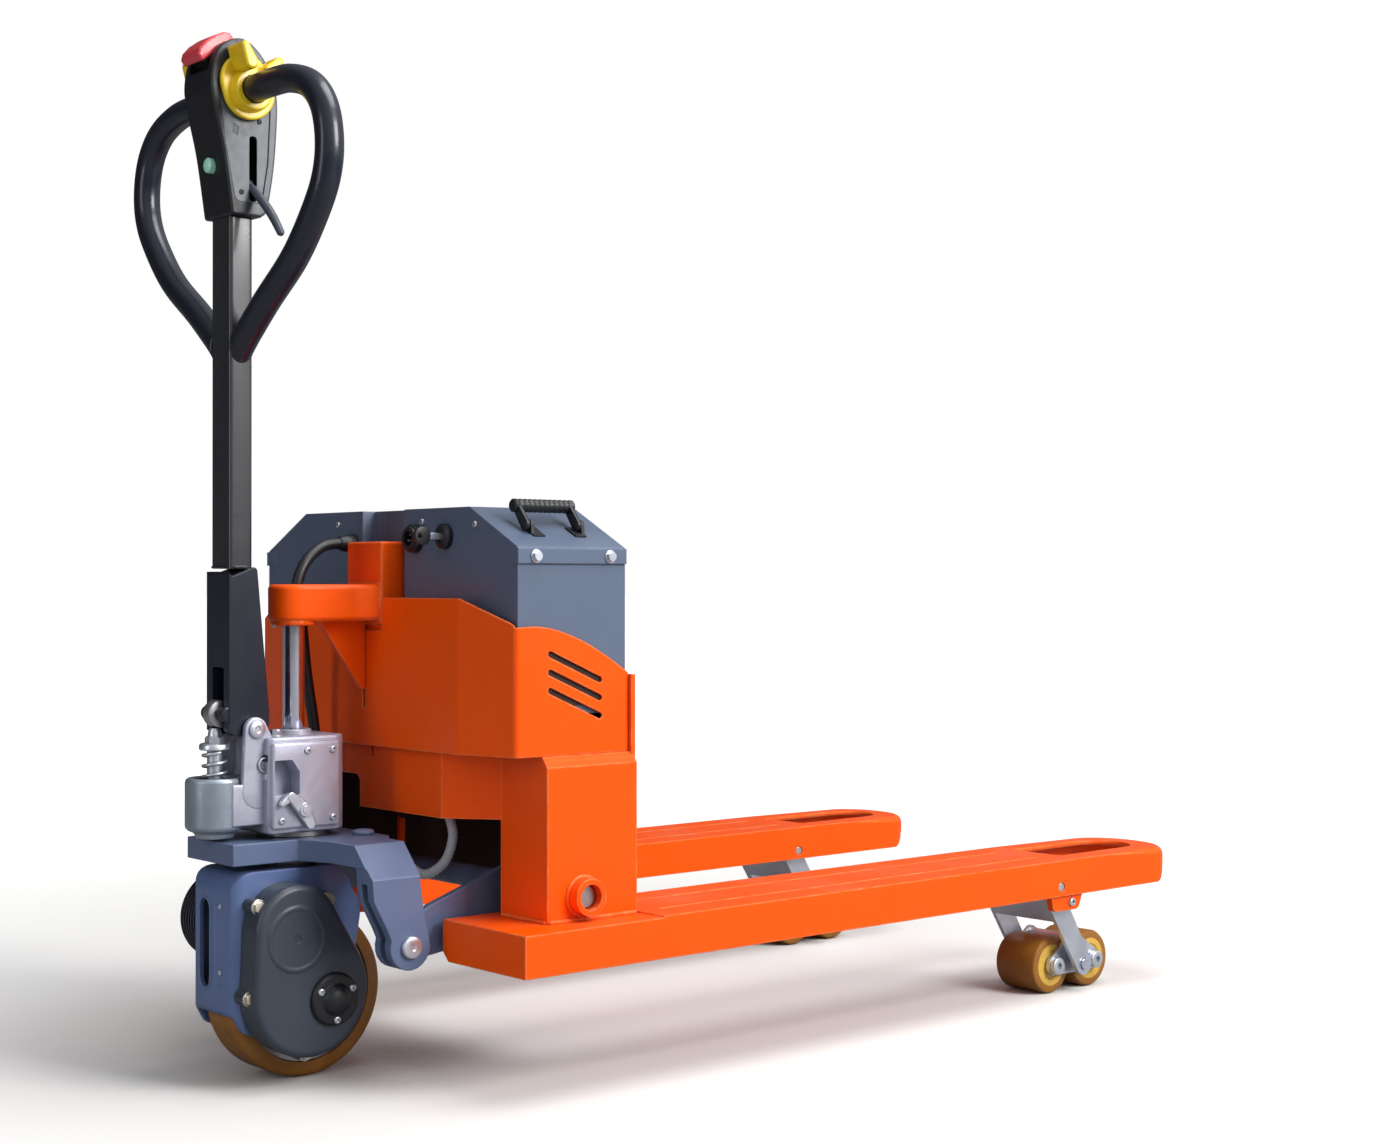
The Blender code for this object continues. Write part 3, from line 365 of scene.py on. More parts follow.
def urethane(name, colour, deep):
    """Cast polyurethane tread: slightly translucent, with fine scuffs round its tread."""
    s = Shader(name, 0.38)
    s.set({"Subsurface Weight": 0.12, "Subsurface Radius": (0.006, 0.003, 0.001)})
    base = s.cloudy(25.0, 5.0, 0.3, colour, deep)
    scuffs = s.ramp(s.noise(160.0, 4.0, (0.4, 1.0, 1.0)), 0.62, 0.75, 0.0, 0.45)
    s.link(s.mix(scuffs, base, scaled(deep, 0.5)), "Base Color")
    s.vary_roughness(0.3, 0.5, 120.0)
    s.bump((s.noise(500.0, 4.0, (0.3, 1.0, 1.0)), 0.2, 0.0006))
    return s.material


MATERIALS = {
    # worn_and_lit_edge: pale orange on the edges, partly wear and partly a painted highlight
    "orange_paint": paint("orange_powder_coat", (0.95, 0.094, 0.0005), 0.4, coat=0.1,
                          worn_and_lit_edge=(1.0, 0.4, 0.16), depth=0.03, shine=0.16),
    "blue_grey_paint": paint("blue_grey_enamel", (0.105, 0.145, 0.26), 0.42, coat=0.2, depth=0.12),
    "housing_paint": paint("blue_housing_enamel", (0.10, 0.155, 0.33), 0.4, coat=0.3, depth=0.14),
    "charcoal_paint": paint("charcoal_enamel", (0.032, 0.043, 0.062), 0.42, coat=0.15, depth=0.14),
    "slate_cover": paint("slate_cover_paint", (0.095, 0.13, 0.205), 0.42, coat=0.1, depth=0.04),
    "black_powder": paint("black_powder_coat", (0.010, 0.0135, 0.026), 0.3, coat=0.3, peel=0.06, depth=0.15,
                          shine=0.4),
    "tube_black": paint("tube_powder_coat", (0.024, 0.026, 0.032), 0.3, coat=0.6, peel=0.08, depth=0.15),
    "chrome": bright_metal("hard_chrome", (0.78, 0.79, 0.86), 0.12, (0.7, 0.72, 0.84), (1.0, 1.0, 0.05), 1.0),
    "zinc": bright_metal("zinc_plate", (0.72, 0.76, 0.82), 0.34, (0.62, 0.66, 0.76)),
    "brass_plate": bright_metal("yellow_zinc_plate", (0.8, 0.76, 0.66), 0.36, (0.7, 0.64, 0.52)),
    "steel": bright_metal("bare_steel", (0.5, 0.5, 0.51), 0.38, (0.42, 0.42, 0.45), (1.0, 0.1, 1.0), 1.0),
    "pump_alloy": casting("pump_casting", (0.5, 0.5, 0.585), 0.42, (0.44, 0.46, 0.58), 0.45),
    "cast_iron": casting("cast_sleeve", (0.36, 0.42, 0.48), 0.4, (0.3, 0.35, 0.42), 0.6),
    "polyurethane": urethane("amber_polyurethane", (0.36, 0.15, 0.02), (0.27, 0.10, 0.012)),
    "roller_end": urethane("amber_roller_face", (0.72, 0.46, 0.08), (0.6, 0.36, 0.05)),
    "black_plastic": plastic("black_moulding", (0.009, 0.0105, 0.014), 0.42),
    "grey_plastic": plastic("grey_moulding", (0.11, 0.125, 0.145), 0.42, depth=0.08),
    "slate_plastic": plastic("slate_moulding", (0.05, 0.06, 0.085), 0.4),
    "yellow_plastic": plastic("yellow_moulding", (0.9, 0.62, 0.012), 0.34, coat=0.2),
    "red_plastic": plastic("red_moulding", (0.72, 0.055, 0.075), 0.34, coat=0.3),
    "teal_plastic": plastic("teal_moulding", (0.45, 0.92, 0.7), 0.3, coat=0.3),
    # near-black brown for sheets that stand for deep shade inside the shell and behind the vents: painted
    # shade
    "bay_painted_shade": plastic("bay_painted_shade", (0.022, 0.009, 0.006), 0.7),
    "pale_hose": plastic("pale_hose", (0.5, 0.53, 0.6), 0.45),
}


# ---------------- outlines and solids
def on_circle(centre, radius, degrees):
    a = math.radians(degrees)
    return (centre[0] + radius * math.cos(a), centre[1] + radius * math.sin(a))


def arc(centre, radius, start, end, steps):
    return [on_circle(centre, radius, start + (end - start) * i / steps) for i in range(steps + 1)]


def circle(centre, radius, sides=64):
    return arc(centre, radius, 0, 360 * (sides - 1) / sides, sides - 1)


def hull(points):
    """Convex outline round a cloud of points, anticlockwise."""
    ordered = sorted(set(points))

    def half(source):
        chain = []
        for p in source:
            while len(chain) > 1:
                (ax, ay), (bx, by) = chain[-2], chain[-1]
                if (bx - ax) * (p[1] - ay) - (by - ay) * (p[0] - ax) > 1e-9:
                    break
                chain.pop()
            chain.append(p)
        return chain[:-1]

    return half(ordered) + half(ordered[::-1])


def belt(*discs, sides=64):
    """Outline of a belt round discs, each given as two coordinates and a radius."""
    return hull([p for a, b, r in discs for p in circle((a, b), r, sides)])


def smooth_route(points, step):
    """Points about one step apart on a smooth curve through the given ones."""
    knots = [Vector(p) for p in points]
    knots = [2 * knots[0] - knots[1]] + knots + [2 * knots[-1] - knots[-2]]
    route = []
    for p0, p1, p2, p3 in zip(knots, knots[1:], knots[2:], knots[3:]):
        count = max(1, round((p2 - p1).length / step))
        for i in range(count):
            t = i / count
            route.append(0.5 * (2 * p1 + (p2 - p0) * t + (2 * p0 - 5 * p1 + 4 * p2 - p3) * t ** 2
                                + (3 * p1 - p0 - 3 * p2 + p3) * t ** 3))
    return route + [knots[-2]]


def smooth_outline(points, step=6):
    return [(p.x, p.y) for p in smooth_route([(a, b, 0) for a, b in points], step)]


def shrunk(shape, inset):
    """Move an outline's points inwards, whichever way round it runs."""
    count = len(shape)
    area = sum(shape[i - 1][0] * shape[i][1] - shape[i][0] * shape[i - 1][1] for i in range(count))
    turn = 1 if area > 0 else -1
    points = []
    for i, (a, b) in enumerate(shape):
        before, after = Vector(shape[i - 2]), Vector(shape[(i + 2) % count])
        run = (after - before).normalized()
        points.append((a - turn * run.y * inset, b + turn * run.x * inset))
    return points


def fillet(outline, radii, steps=6):
    """Round an outline's corners; radii is one radius or a list with one for each corner."""
    count = len(outline)
    if not isinstance(radii, list):
        radii = [radii] * count
    points = []
    for i, radius in enumerate(radii):
        corner = Vector(outline[i])
        back = (Vector(outline[i - 1]) - corner).normalized()
        ahead = (Vector(outline[(i + 1) % count]) - corner).normalized()
        half = back.angle(ahead) / 2
        if radius == 0 or half > math.pi / 2 - 0.01:
            points.append(tuple(corner))
            continue
        middle = corner + (back + ahead).normalized() * (radius / math.sin(half))
        start = corner + back * (radius / math.tan(half)) - middle
        sweep_angle = math.pi - 2 * half
        if start.x * ahead.y - start.y * ahead.x < 0:
            sweep_angle = -sweep_angle
        for k in range(steps + 1):
            a = sweep_angle * k / steps
            points.append((middle.x + start.x * math.cos(a) - start.y * math.sin(a),
                           middle.y + start.x * math.sin(a) + start.y * math.cos(a)))
    return points


def mirrored(s, inner, outer):
    """A stretch of X on the left or right of the middle, lower end first."""
    return sorted((s * inner, s * outer))


def to_world(axis, a, b, along):
    return {"X": (along, a, b), "Y": (a, along, b), "Z": (a, b, along)}[axis]


def mesh_object(verts, faces):
    mesh = bpy.data.meshes.new("piece")
    mesh.from_pydata([point(v) for v in verts], [], faces)
    mesh.validate()
    obj = bpy.data.objects.new("piece", mesh)
    bpy.context.scene.collection.objects.link(obj)
    mesh.calc_loop_triangles()
    volume = 0.0
    for tri in mesh.loop_triangles:
        a, b, c = (mesh.vertices[i].co for i in tri.vertices)
        volume += a.dot(b.cross(c))
    if volume < 0:
        mesh.flip_normals()
    return obj


def prism(axis, outline, low, high):
    """An outline pulled straight along an axis."""
    count = len(outline)
    verts = [to_world(axis, a, b, low) for a, b in outline]
    verts += [to_world(axis, a, b, high) for a, b in outline]
    faces = [tuple(range(count))[::-1], tuple(range(count, 2 * count))]
    faces += [(i, (i + 1) % count, count + (i + 1) % count, count + i) for i in range(count)]
    return mesh_object(verts, faces)


def block(x, y, z):
    return prism("Z", [(x[0], y[0]), (x[1], y[0]), (x[1], y[1]), (x[0], y[1])], z[0], z[1])


def disc(axis, centre, radius, low, high, sides=64):
    return prism(axis, circle(centre, radius, sides), low, high)


def placed(profile, start, sign=1):
    """A turned profile moved along its axis; sign -1 mirrors it."""
    return [(start + sign * a, r) for a, r in profile]


def turned(axis, centre, profile, sides=64, closed=False):
    """Solid of revolution. The profile holds (along, radius); a closed one leaves a hole."""
    verts, rings = [], []
    for along, radius in profile:
        if radius == 0:
            rings.append([len(verts)] * sides)
            verts.append(to_world(axis, centre[0], centre[1], along))
            continue
        rings.append(list(range(len(verts), len(verts) + sides)))
        verts += [to_world(axis, a, b, along) for a, b in circle(centre, radius, sides)]
    pairs = list(zip(rings, rings[1:]))
    if closed:
        pairs.append((rings[-1], rings[0]))
    faces = []
    for near, far in pairs:
        for i in range(sides):
            j = (i + 1) % sides
            faces.append(tuple(dict.fromkeys([near[i], near[j], far[j], far[i]])))
    return mesh_object(verts, [f for f in faces if len(f) > 2])


def sweep(points, radii, sides, closed=False):
    """A bar along a line of points, with one radius or one for each point."""
    line = [Vector(p) for p in points]
    if not isinstance(radii, list):
        radii = [radii] * len(line)
    last = len(line) - 1
    verts, faces = [], []
    normal = None
    for i, (p, radius) in enumerate(zip(line, radii)):
        before = line[i - 1] if i or closed else p
        after = line[(i + 1) % len(line)] if i < last or closed else p
        along = (after - before).normalized()
        if normal is None:
            normal = along.orthogonal().normalized()
        normal = (normal - along * normal.dot(along)).normalized()
        side = along.cross(normal)
        for k in range(sides):
            a = 2 * math.pi * k / sides
            verts.append(p + normal * (radius * math.cos(a)) + side * (radius * math.sin(a)))
    rings = len(line) if closed else last
    for i in range(rings):
        for k in range(sides):
            here, there = i * sides, ((i + 1) % len(line)) * sides
            turn = (k + 1) % sides
            faces.append((here + k, here + turn, there + turn, there + k))
    if not closed:
        faces.append(tuple(range(sides))[::-1])
        faces.append(tuple(range(last * sides, (last + 1) * sides)))
    return mesh_object(verts, faces)


def settle(obj):
    """Turn an object's modifiers into its mesh."""
    bpy.context.view_layer.update()
    evaluated = obj.evaluated_get(bpy.context.evaluated_depsgraph_get())
    mesh = bpy.data.meshes.new_from_object(evaluated)
    obj.modifiers.clear()
    obj.data = mesh


def combine(base, others, operation):
    for other in others:
        modifier = base.modifiers.new(operation.lower(), "BOOLEAN")
        modifier.operation = operation
        modifier.solver = "EXACT"
        modifier.object = other
    settle(base)
    for other in others:
        bpy.data.objects.remove(other)
    return base


def join(base, *others):
    return combine(base, others, "UNION")


def cut(base, *others):
    return combine(base, others, "DIFFERENCE")


def add_bevel(obj, width, segments, angle):
    bevel = obj.modifiers.new("edges", "BEVEL")
    bevel.width = width * MM
    bevel.segments = segments
    bevel.limit_method = "ANGLE"
    bevel.angle_limit = math.radians(angle)


def rounded(obj, width, segments=4, angle=40):
    """Round every edge of a solid at once, before it is cut."""
    add_bevel(obj, width, segments, angle)
    settle(obj)
    return obj


def rounded_where(obj, chosen, width):
    """Round only the edges whose two ends pass a test on their truck millimetres."""
    weights = obj.data.attributes.new("bevel_weight_edge", "FLOAT", "EDGE")
    places = [Vector((v.co.x, v.co.y - HEEL_Y, v.co.z)) / MM for v in obj.data.vertices]
    for edge in obj.data.edges:
        weights.data[edge.index].value = float(all(chosen(places[i]) for i in edge.vertices))
    bevel = obj.modifiers.new("round", "BEVEL")
    bevel.width = width * MM
    bevel.segments = 5
    bevel.limit_method = "WEIGHT"
    settle(obj)
    return obj


def soften(obj, width, segments=2, angle=35):
    """Small bevel on a finished piece that keeps its flats flat."""
    add_bevel(obj, width, segments, angle)
    normals = obj.modifiers.new("normals", "WEIGHTED_NORMAL")
    normals.weight = 80
    normals.keep_sharp = False


def turn_to(obj, place, direction):
    """Move a piece built round the truck's Z axis at its origin to a place, with Z along a direction."""
    turn = Vector((0, 0, 1)).rotation_difference(Vector(direction)).to_matrix().to_4x4()
    obj.data.transform(Matrix.Translation(-point((0, 0, 0))))
    obj.data.transform(Matrix.Translation(point(place)) @ turn)
    return obj


def piece(name, obj, finish, body, bevel=0.0, segments=2, angle=35, replaces=()):
    """Name a finished mesh, give it its material and make it ride on a body."""
    obj.name = name
    obj.data.name = name
    obj.data.materials.clear()
    obj.data.materials.append(MATERIALS[finish])
    obj.data.shade_smooth()
    if bevel:
        soften(obj, bevel, segments, angle)
    else:
        obj.data.set_sharp_from_angle(angle=math.radians(angle))
    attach(obj, body)
    if replaces:
        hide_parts(*replaces)
    return obj


def dress(node, finish, bevel=1.0, segments=2):
    """Keep a CAD node, with softened edges and a finished material."""
    obj = NODES[node]
    for slot in obj.material_slots:
        slot.material = MATERIALS[finish]
    if "custom_normal" in obj.data.attributes:
        obj.data.attributes.remove(obj.data.attributes["custom_normal"])
    obj.data.shade_smooth()
    weld = obj.modifiers.new("weld", "WELD")
    weld.merge_threshold = 0.00002
    flat = obj.modifiers.new("flat", "DECIMATE")
    flat.decimate_type = "DISSOLVE"
    flat.angle_limit = math.radians(0.6)
    soften(obj, bevel, segments)


# ---------------- fasteners
def hex_outline(size):
    return circle((0, 0), size / math.cos(math.pi / 6), 6)


def hex_head(size, height):
    """Hexagon head or nut, `size` is half its width across flats."""
    head = prism("Z", hex_outline(size), 0, height)
    cone = turned("Z", (0, 0), [(-1, 0), (-1, size * 1.4), (height * 0.72, size * 1.15),
                                (height, size * 0.98), (height, 0)], 32)
    return combine(head, [cone], "INTERSECT")


def washer(radius, thickness):
    return turned("Z", (0, 0), [(0, 0), (0, radius), (thickness * 0.7, radius), (thickness, radius * 0.95),
                                (thickness, 0)], 32)


def bolt(name, place, direction, size, body, finish="zinc", height=None):
    """Hexagon head on a washer."""
    lift = size * 0.22
    head = hex_head(size, height or size * 0.9)
    head.data.transform(Matrix.Translation((0, 0, lift * MM)))
    join(head, washer(size * 1.45, lift + 0.05))
    piece(name, turn_to(head, place, direction), finish, body, bevel=0.25)


def cap_screw(name, place, direction, radius, body, finish="zinc", height=None):
    """Round-headed screw with a hexagon socket."""
    height = height or radius * 0.8
    head = turned("Z", (0, 0), [(0, 0), (0, radius), (height * 0.5, radius), (height * 0.85, radius * 0.85),
                                (height, radius * 0.55), (height, 0)], 28)
    socket = prism("Z", hex_outline(radius * 0.42), height * 0.35, height + 2)
    piece(name, turn_to(cut(head, socket), place, direction), finish, body, bevel=0.15)


def row(make, name, places, *how, **more):
    """The same fastener at several places, numbered from 1."""
    for i, place in enumerate(places):
        make("%s_%d" % (name, i + 1), place, *how, **more)


def weld_bead(name, route, radius, body, finish="orange_paint"):
    """A ripply bead along a route, half sunk in the joint it fills."""
    line = smooth_route(route, 2.2)
    radii = []
    for i in range(len(line)):
        ripple = 0.86 + 0.14 * (i % 2)
        radii.append(radius * ripple + random.uniform(-0.08, 0.08) * radius)
    radii[0] = radii[-1] = radius * 0.45
    piece(name, sweep(line, radii, 10), finish, body)


# ---------------- forks and running gear
def fork_plan(centre, inset, half, start, straight_to, tip):
    reach = tip - straight_to - inset
    end = [((half - inset) * math.cos(math.radians(a)), straight_to + reach * math.sin(math.radians(a)))
           for a in range(0, 181, 6)]
    outline = [(inset - half, start), (half - inset, start)] + end
    return [(centre + x, y) for x, y in outline]


def fork_opening(centre, grow, corner):
    """Long opening over the load rollers, square at one end and round at the other."""
    half, start = OPENING_HALF + grow, OPENING_START - grow
    outline = [(centre - half, start), (centre + half, start)]
    return fillet(outline + arc((centre, OPENING_END), half, 0, 180, 32), corner)


def make_forks():
    """Pressed forks: deep sides, soft shoulders, a long opening over the rollers and a lifted nose."""
    for name, s in SIDES.items():
        low, high = span("fork_" + name)
        centre, half = s * FORK_X, (high.x - low.x) / 2
        across = (centre - 90, centre + 90)
        top, tip = high.z, high.y
        straight_to, inside = tip - 60, top - FORK_SKIN
        fork = prism("Z", fork_plan(centre, 0, half, 0, straight_to, tip), FORK_BOTTOM, top)
        rounded_where(fork, lambda p: p.z > top - 1 and p.y > 1, 12.0)
        plan = fork_plan(centre, FORK_SKIN, half, 8, straight_to, tip)
        hollow = prism("Z", plan, FORK_BOTTOM - 5, inside - 5)
        plan = fork_plan(centre, FORK_SKIN + 9, half, 17, straight_to, tip)
        hollow_top = prism("Z", plan, inside - 6, inside)
        nose = [(1135, 140), (1139, 144)] + arc((1139, 172), 28, -80, -10, 12) + [(1210, 168), (1210, 140)]
        inner = centre - s * half
        chamfer = [(inner - s * 5, 140), (inner + s * 16, 140), (inner - s * 5, 161)]
        grooves = []
        for x in (centre - 34, centre + 34):
            grooves.append(block((x - 2, x + 2), (232, 925), (top - 1.2, top + 5)))
        cut(fork, *grooves, hollow, hollow_top, prism("Z", fork_opening(centre, 0, 8), top - 14, top + 5),
            block((centre - 22.5, centre + 22.5), (85, 180), (top - 12, top + 5)),
            prism("X", nose, *across), prism("Y", chamfer, -5, 14),
            block(across, (-5, 200.3), (top - 2, top + 5)), disc("X", ARM, 6.6, *across))
        lug = fillet([(905, 150), (912, 124), (966, 124), (976, 150)], [0, 8, 10, 0])
        join(fork, prism("X", lug, *sorted((centre + s * 66, centre + s * 76))))
        piece("fork_press_" + name, fork, "orange_paint", "chassis", bevel=1.2, replaces=["fork_" + name])
        rim = [(x, y, top - 3.0) for x, y in fork_opening(centre, 2.6, 10)]
        piece("fork_opening_rim_" + name, sweep(rim, 3.2, 12, closed=True), "orange_paint", "chassis")


def make_load_arms():
    """Zinc arm and bogie under each fork with amber tandem rollers."""
    for name, s in SIDES.items():
        arm, bogie = "arm_" + name, "bogie_" + name
        dress("load_arm_" + name, "zinc", 1.0)
        dress("arm_pivot_" + name, "zinc", 0.6)
        dress("bogie_" + name, "zinc", 1.0)
        dress("pushrod_" + name, "steel", 1.2)
        centre = s * FORK_X
        for side in (-1, 1):
            bolt("arm_pivot_nut_%s_%s" % (name, "in" if side * s < 0 else "out"),
                 (centre + side * 59.2, *ARM), X * side, 8, arm)
        for end in ("front", "rear"):
            axis = seen_along("X", pivot("roller_%s_%s_spin" % (name, end)))
            low, high = span("load_roller_%s_%s" % (name, end))
            half = (high.x - low.x) / 2
            radius = (high.z - low.z) / 2
            body = "roller_%s_%s" % (name, end)
            tread = [(-half, radius - 11), (-half, radius - 4.5), (-half + 1.3, radius - 1.6),
                     (-half + 4, radius), (half - 4, radius), (half - 1.3, radius - 1.6),
                     (half, radius - 4.5), (half, radius - 11)]
            tyre = turned("X", axis, placed(tread, centre), 96, closed=True)
            piece("roller_tread_%s_%s" % (name, end), tyre, "polyurethane", body,
                  replaces=["load_roller_%s_%s" % (name, end)])
            for side in (-1, 1):
                ring = [(half - 2.4, 9), (half - 2.4, radius - 11.2), (half - 0.2, radius - 10.8),
                        (half + 0.1, radius - 12), (half + 0.1, 21), (half - 1.6, 19.5), (half - 1.6, 9)]
                face = turned("X", axis, placed(ring, centre, side), 72, closed=True)
                piece("roller_face_%s_%s_%s" % (name, end, "out" if side * s > 0 else "in"), face,
                      "roller_end", body)
            hub = [(-half + 2, 8.8), (-half + 2, 18.5), (-half + 5, 19), (half - 5, 19), (half - 2, 18.5),
                   (half - 2, 8.8)]
            core = turned("X", axis, placed(hub, centre), 48, closed=True)
            piece("roller_core_%s_%s" % (name, end), core, "steel", body)
            axle = [(-50, 0), (-50, 10.5), (-49, 12), (-42.4, 12), (-42.4, 8), (42.4, 8), (42.4, 12),
                    (49, 12), (50, 10.5), (50, 0)]
            pin = turned("X", axis, placed(axle, centre), 40)
            for side in (-1, 1):
                pin = cut(pin, prism("X", circle(axis, 5.2, 6),
                                     *sorted((centre + side * 45.5, centre + side * 55))))
            piece("roller_axle_bolt_%s_%s" % (name, end), pin, "zinc", bogie, bevel=0.3,
                  replaces=["roller_axle_%s_%s" % (name, end)])
        cap_screw("lug_screw_" + name, (centre + s * 76, 950, 135), X * s, 6.2, "chassis", height=4)


# ---------------- chassis, shell and cover
def make_shell():
    """Bent sheet round the battery, with soft bends and its top edge swept down at the sides."""
    low, high = span("body_shell")
    sheet, front, wing, back = 3.0, low.y, 31.0, high.y
    wide, floor = high.x, low.z

    def bent(inset, flat, radius_wing, radius_front, rear):
        x, y, nose = wide - inset, wing + inset, front + inset
        outline = [(-x, rear), (-x, y), (-flat, nose), (flat, nose), (x, y), (x, rear)]
        return fillet(outline, [0, radius_wing, radius_front, radius_front, radius_wing, 0], 8)

    shell = prism("Z", bent(0, 200, 8, 14, back), floor, 600)
    inner = prism("Z", bent(sheet, 199.6, 5, 11, 250), 370, 620)
    front_top = [(-300, 526), (-200, 564), (200, 564), (300, 526), (300, 620), (-300, 620)]
    side_top = smooth_outline([(31, 531), (60, 532), (90, 527), (127, 514), (165, 494), (200, 472)])
    side_top += [(260, 430), (260, 620), (31, 620)]
    post_notch = block((-40.5, 40.5), (0, 20), (524, 620))
    cut(shell, inner, prism("Y", front_top, -5, 40), prism("X", side_top, -300, 300), post_notch,
        block((-3, 3), (0, 20), (430, 462)))
    vents = []
    for i in range(3):
        z = 502 - 21 * i
        vents.append(prism("X", belt((79, z - 2, 3.6), (151, z - 33, 3.6), sides=24), -300, 300))
    cut(shell, *vents)
    piece("shell_sheet", shell, "orange_paint", "chassis", bevel=0.9, angle=40, replaces=["body_shell"])
    # dark sheets behind the vents so that the vents look dark inside: painted shade
    for name, s in SIDES.items():
        outline = fillet([(66, 440), (158, 440), (158, 488), (120, 506), (66, 512)], 5)
        shade = prism("X", outline, *mirrored(s, 279.3, 280.6))
        piece("vent_painted_shade_" + name, shade, "bay_painted_shade", "chassis")


def make_chassis():
    """All that rises with the forks, apart from the forks and the cover."""
    dress("chassis_frame", "orange_paint", 2.4, 3)
    make_shell()
    make_crosshead()
    make_bay_shade_sheets()
    make_ram()
    make_chassis_welds()


def make_crosshead():
    """Post in front of the shell with the arm that reaches over the pump."""
    low, high = span("crosshead")
    post = rounded(block((-39, 39), (11.6, 45), (low.z, high.z)), 3)
    upper = rounded(block((-39, 39), (8, 45), (531, high.z)), 3)
    plan = hull(circle(STEER, 30) + [(-36, -30), (36, -30), (36, 43), (-36, 43)])
    arm = rounded(prism("Z", plan, 536, 580), 6, 5)
    boss = rounded(disc("Z", STEER, 27, 531, 560), 3)
    web = prism("X", [(-58, 538), (7.4, 538), (7.4, 452), (2, 452)], -4, 4)
    join(post, upper, arm, boss, web)
    cut(post, disc("Z", STEER, 13.5, 520, 556))
    piece("post_and_arm", post, "orange_paint", "chassis", bevel=0.8, replaces=["crosshead"])


def make_bay_shade_sheets():
    """Dark sheets inside the open bay under the shell: painted shade where the bay is in deep shadow."""
    sheet = fillet([(-203, 264), (203, 264), (203, 372), (-203, 372)], 4)
    sheet_low = fillet([(-186, 196), (186, 196), (186, 268), (-186, 268)], 4)
    shade_sheet = join(prism("Y", sheet, 190.2, 193.6), prism("Y", sheet_low, 190.2, 193.6))
    piece("bay_shade_sheet", shade_sheet, "bay_painted_shade", "chassis", bevel=0.6)
    # the same dark sheets of painted shade on the bay's sides
    for name, s in SIDES.items():
        outline = fillet([(69, 200), (189, 200), (189, 371), (69, 371)], 4)
        side = prism("X", outline, *mirrored(s, 203.4, 204.7))
        cut(side, disc("X", ROCKER, 17, s * 204 - 5, s * 204 + 5))
        piece("bay_side_shade_sheet_" + name, side, "bay_painted_shade", "chassis", bevel=0.3)


def make_ram():
    """Chrome ram between the pump and the arm, and the grease nipple under the arm."""
    cap_screw("arm_grease_nipple", (-20, -104, 537), -Z, 4.2, "chassis", "brass_plate", 9)
    low, high = span("lift_ram")
    ram = [(low.z, 0), (low.z, 12), (low.z + 2, 13), (high.z, 13), (high.z, 0)]
    piece("ram_rod", turned("Z", STEER, ram, 72), "chrome", "chassis", replaces=["lift_ram"])


def make_chassis_welds():
    """Weld beads on the post, the shaft bosses and the columns, and the rocker shaft's ends."""
    weld_bead("arm_weld_top", [(-37, 9.5, 580), (0, 9.0, 580.5), (37, 9.5, 580)], 3.0, "chassis")
    boss = circle(ROCKER, 22.5, 40)
    for name, s in SIDES.items():
        weld_bead("boss_weld_" + name, [(s * 295.5, y, z) for y, z in boss + boss[:1]], 2.6, "chassis")
        route = [(s * x, 65.5, 194.5) for x in (207, 250, 293)]
        weld_bead("column_weld_front_" + name, route, 2.8, "chassis")
        route = [(s * 295.5, y, 194.5) for y in (68, 130, 196)]
        weld_bead("column_weld_side_" + name, route, 2.8, "chassis")
        cap = [(299.2, 0), (299.2, 11), (301, 13), (301.4, 12.5), (301.4, 0)]
        cap = turned("X", ROCKER, placed(cap, 0, s), 40)
        piece("rocker_shaft_cap_" + name, cap, "steel", "rocker", bevel=0.3)


def make_cover():
    """Folded lid with its screws, key switch, charging socket and carry handle."""
    dress("battery_cover", "slate_cover", 1.6, 3)
    dress("battery", "black_plastic", 2.0)
    dress("motor_controller", "steel", 0.8)
    front = span("battery_cover")[0].y + 1.5
    places = [(-104, front, 655), (86, front, 655), (196, front, 650)]
    row(cap_screw, "cover_front_screw", places, -Y, 4.2, "chassis", height=2.6)
    for name, s in SIDES.items():
        for end, y in {"front": 60, "rear": 168}.items():
            place = (s * 282.2, y, 612.5)
            bolt("cover_lip_bolt_%s_%s" % (name, end), place, X * s, 5.4, "chassis", height=4.2)
    make_socket()
    make_key()
    make_carry_handle()


def make_socket():
    """Round charging socket with three sunk contacts."""
    centre = fine_middle("Y", "charge_socket")
    front = span("charge_socket")[0].y
    body = [(0, 0), (0, 13.2), (1, 14.2), (3, 14.5), (4, 17), (11.7, 17), (11.7, 11.5), (24, 11.5), (24, 0)]
    body = turned("Y", centre, placed(body, front))
    cut(body, disc("Y", centre, 9, front - 5, front + 15))
    piece("socket_shell", body, "black_plastic", "chassis", bevel=0.4, replaces=["charge_socket"])
    contact = placed([(3, 0), (3, 0.9), (4, 1.5), (16, 1.5), (16, 0)], front)
    for i in range(3):
        pin = turned("Y", on_circle(centre, 4.5, 90 + 120 * i), contact, 16)
        piece("socket_contact_%d" % (i + 1), pin, "steel", "chassis")


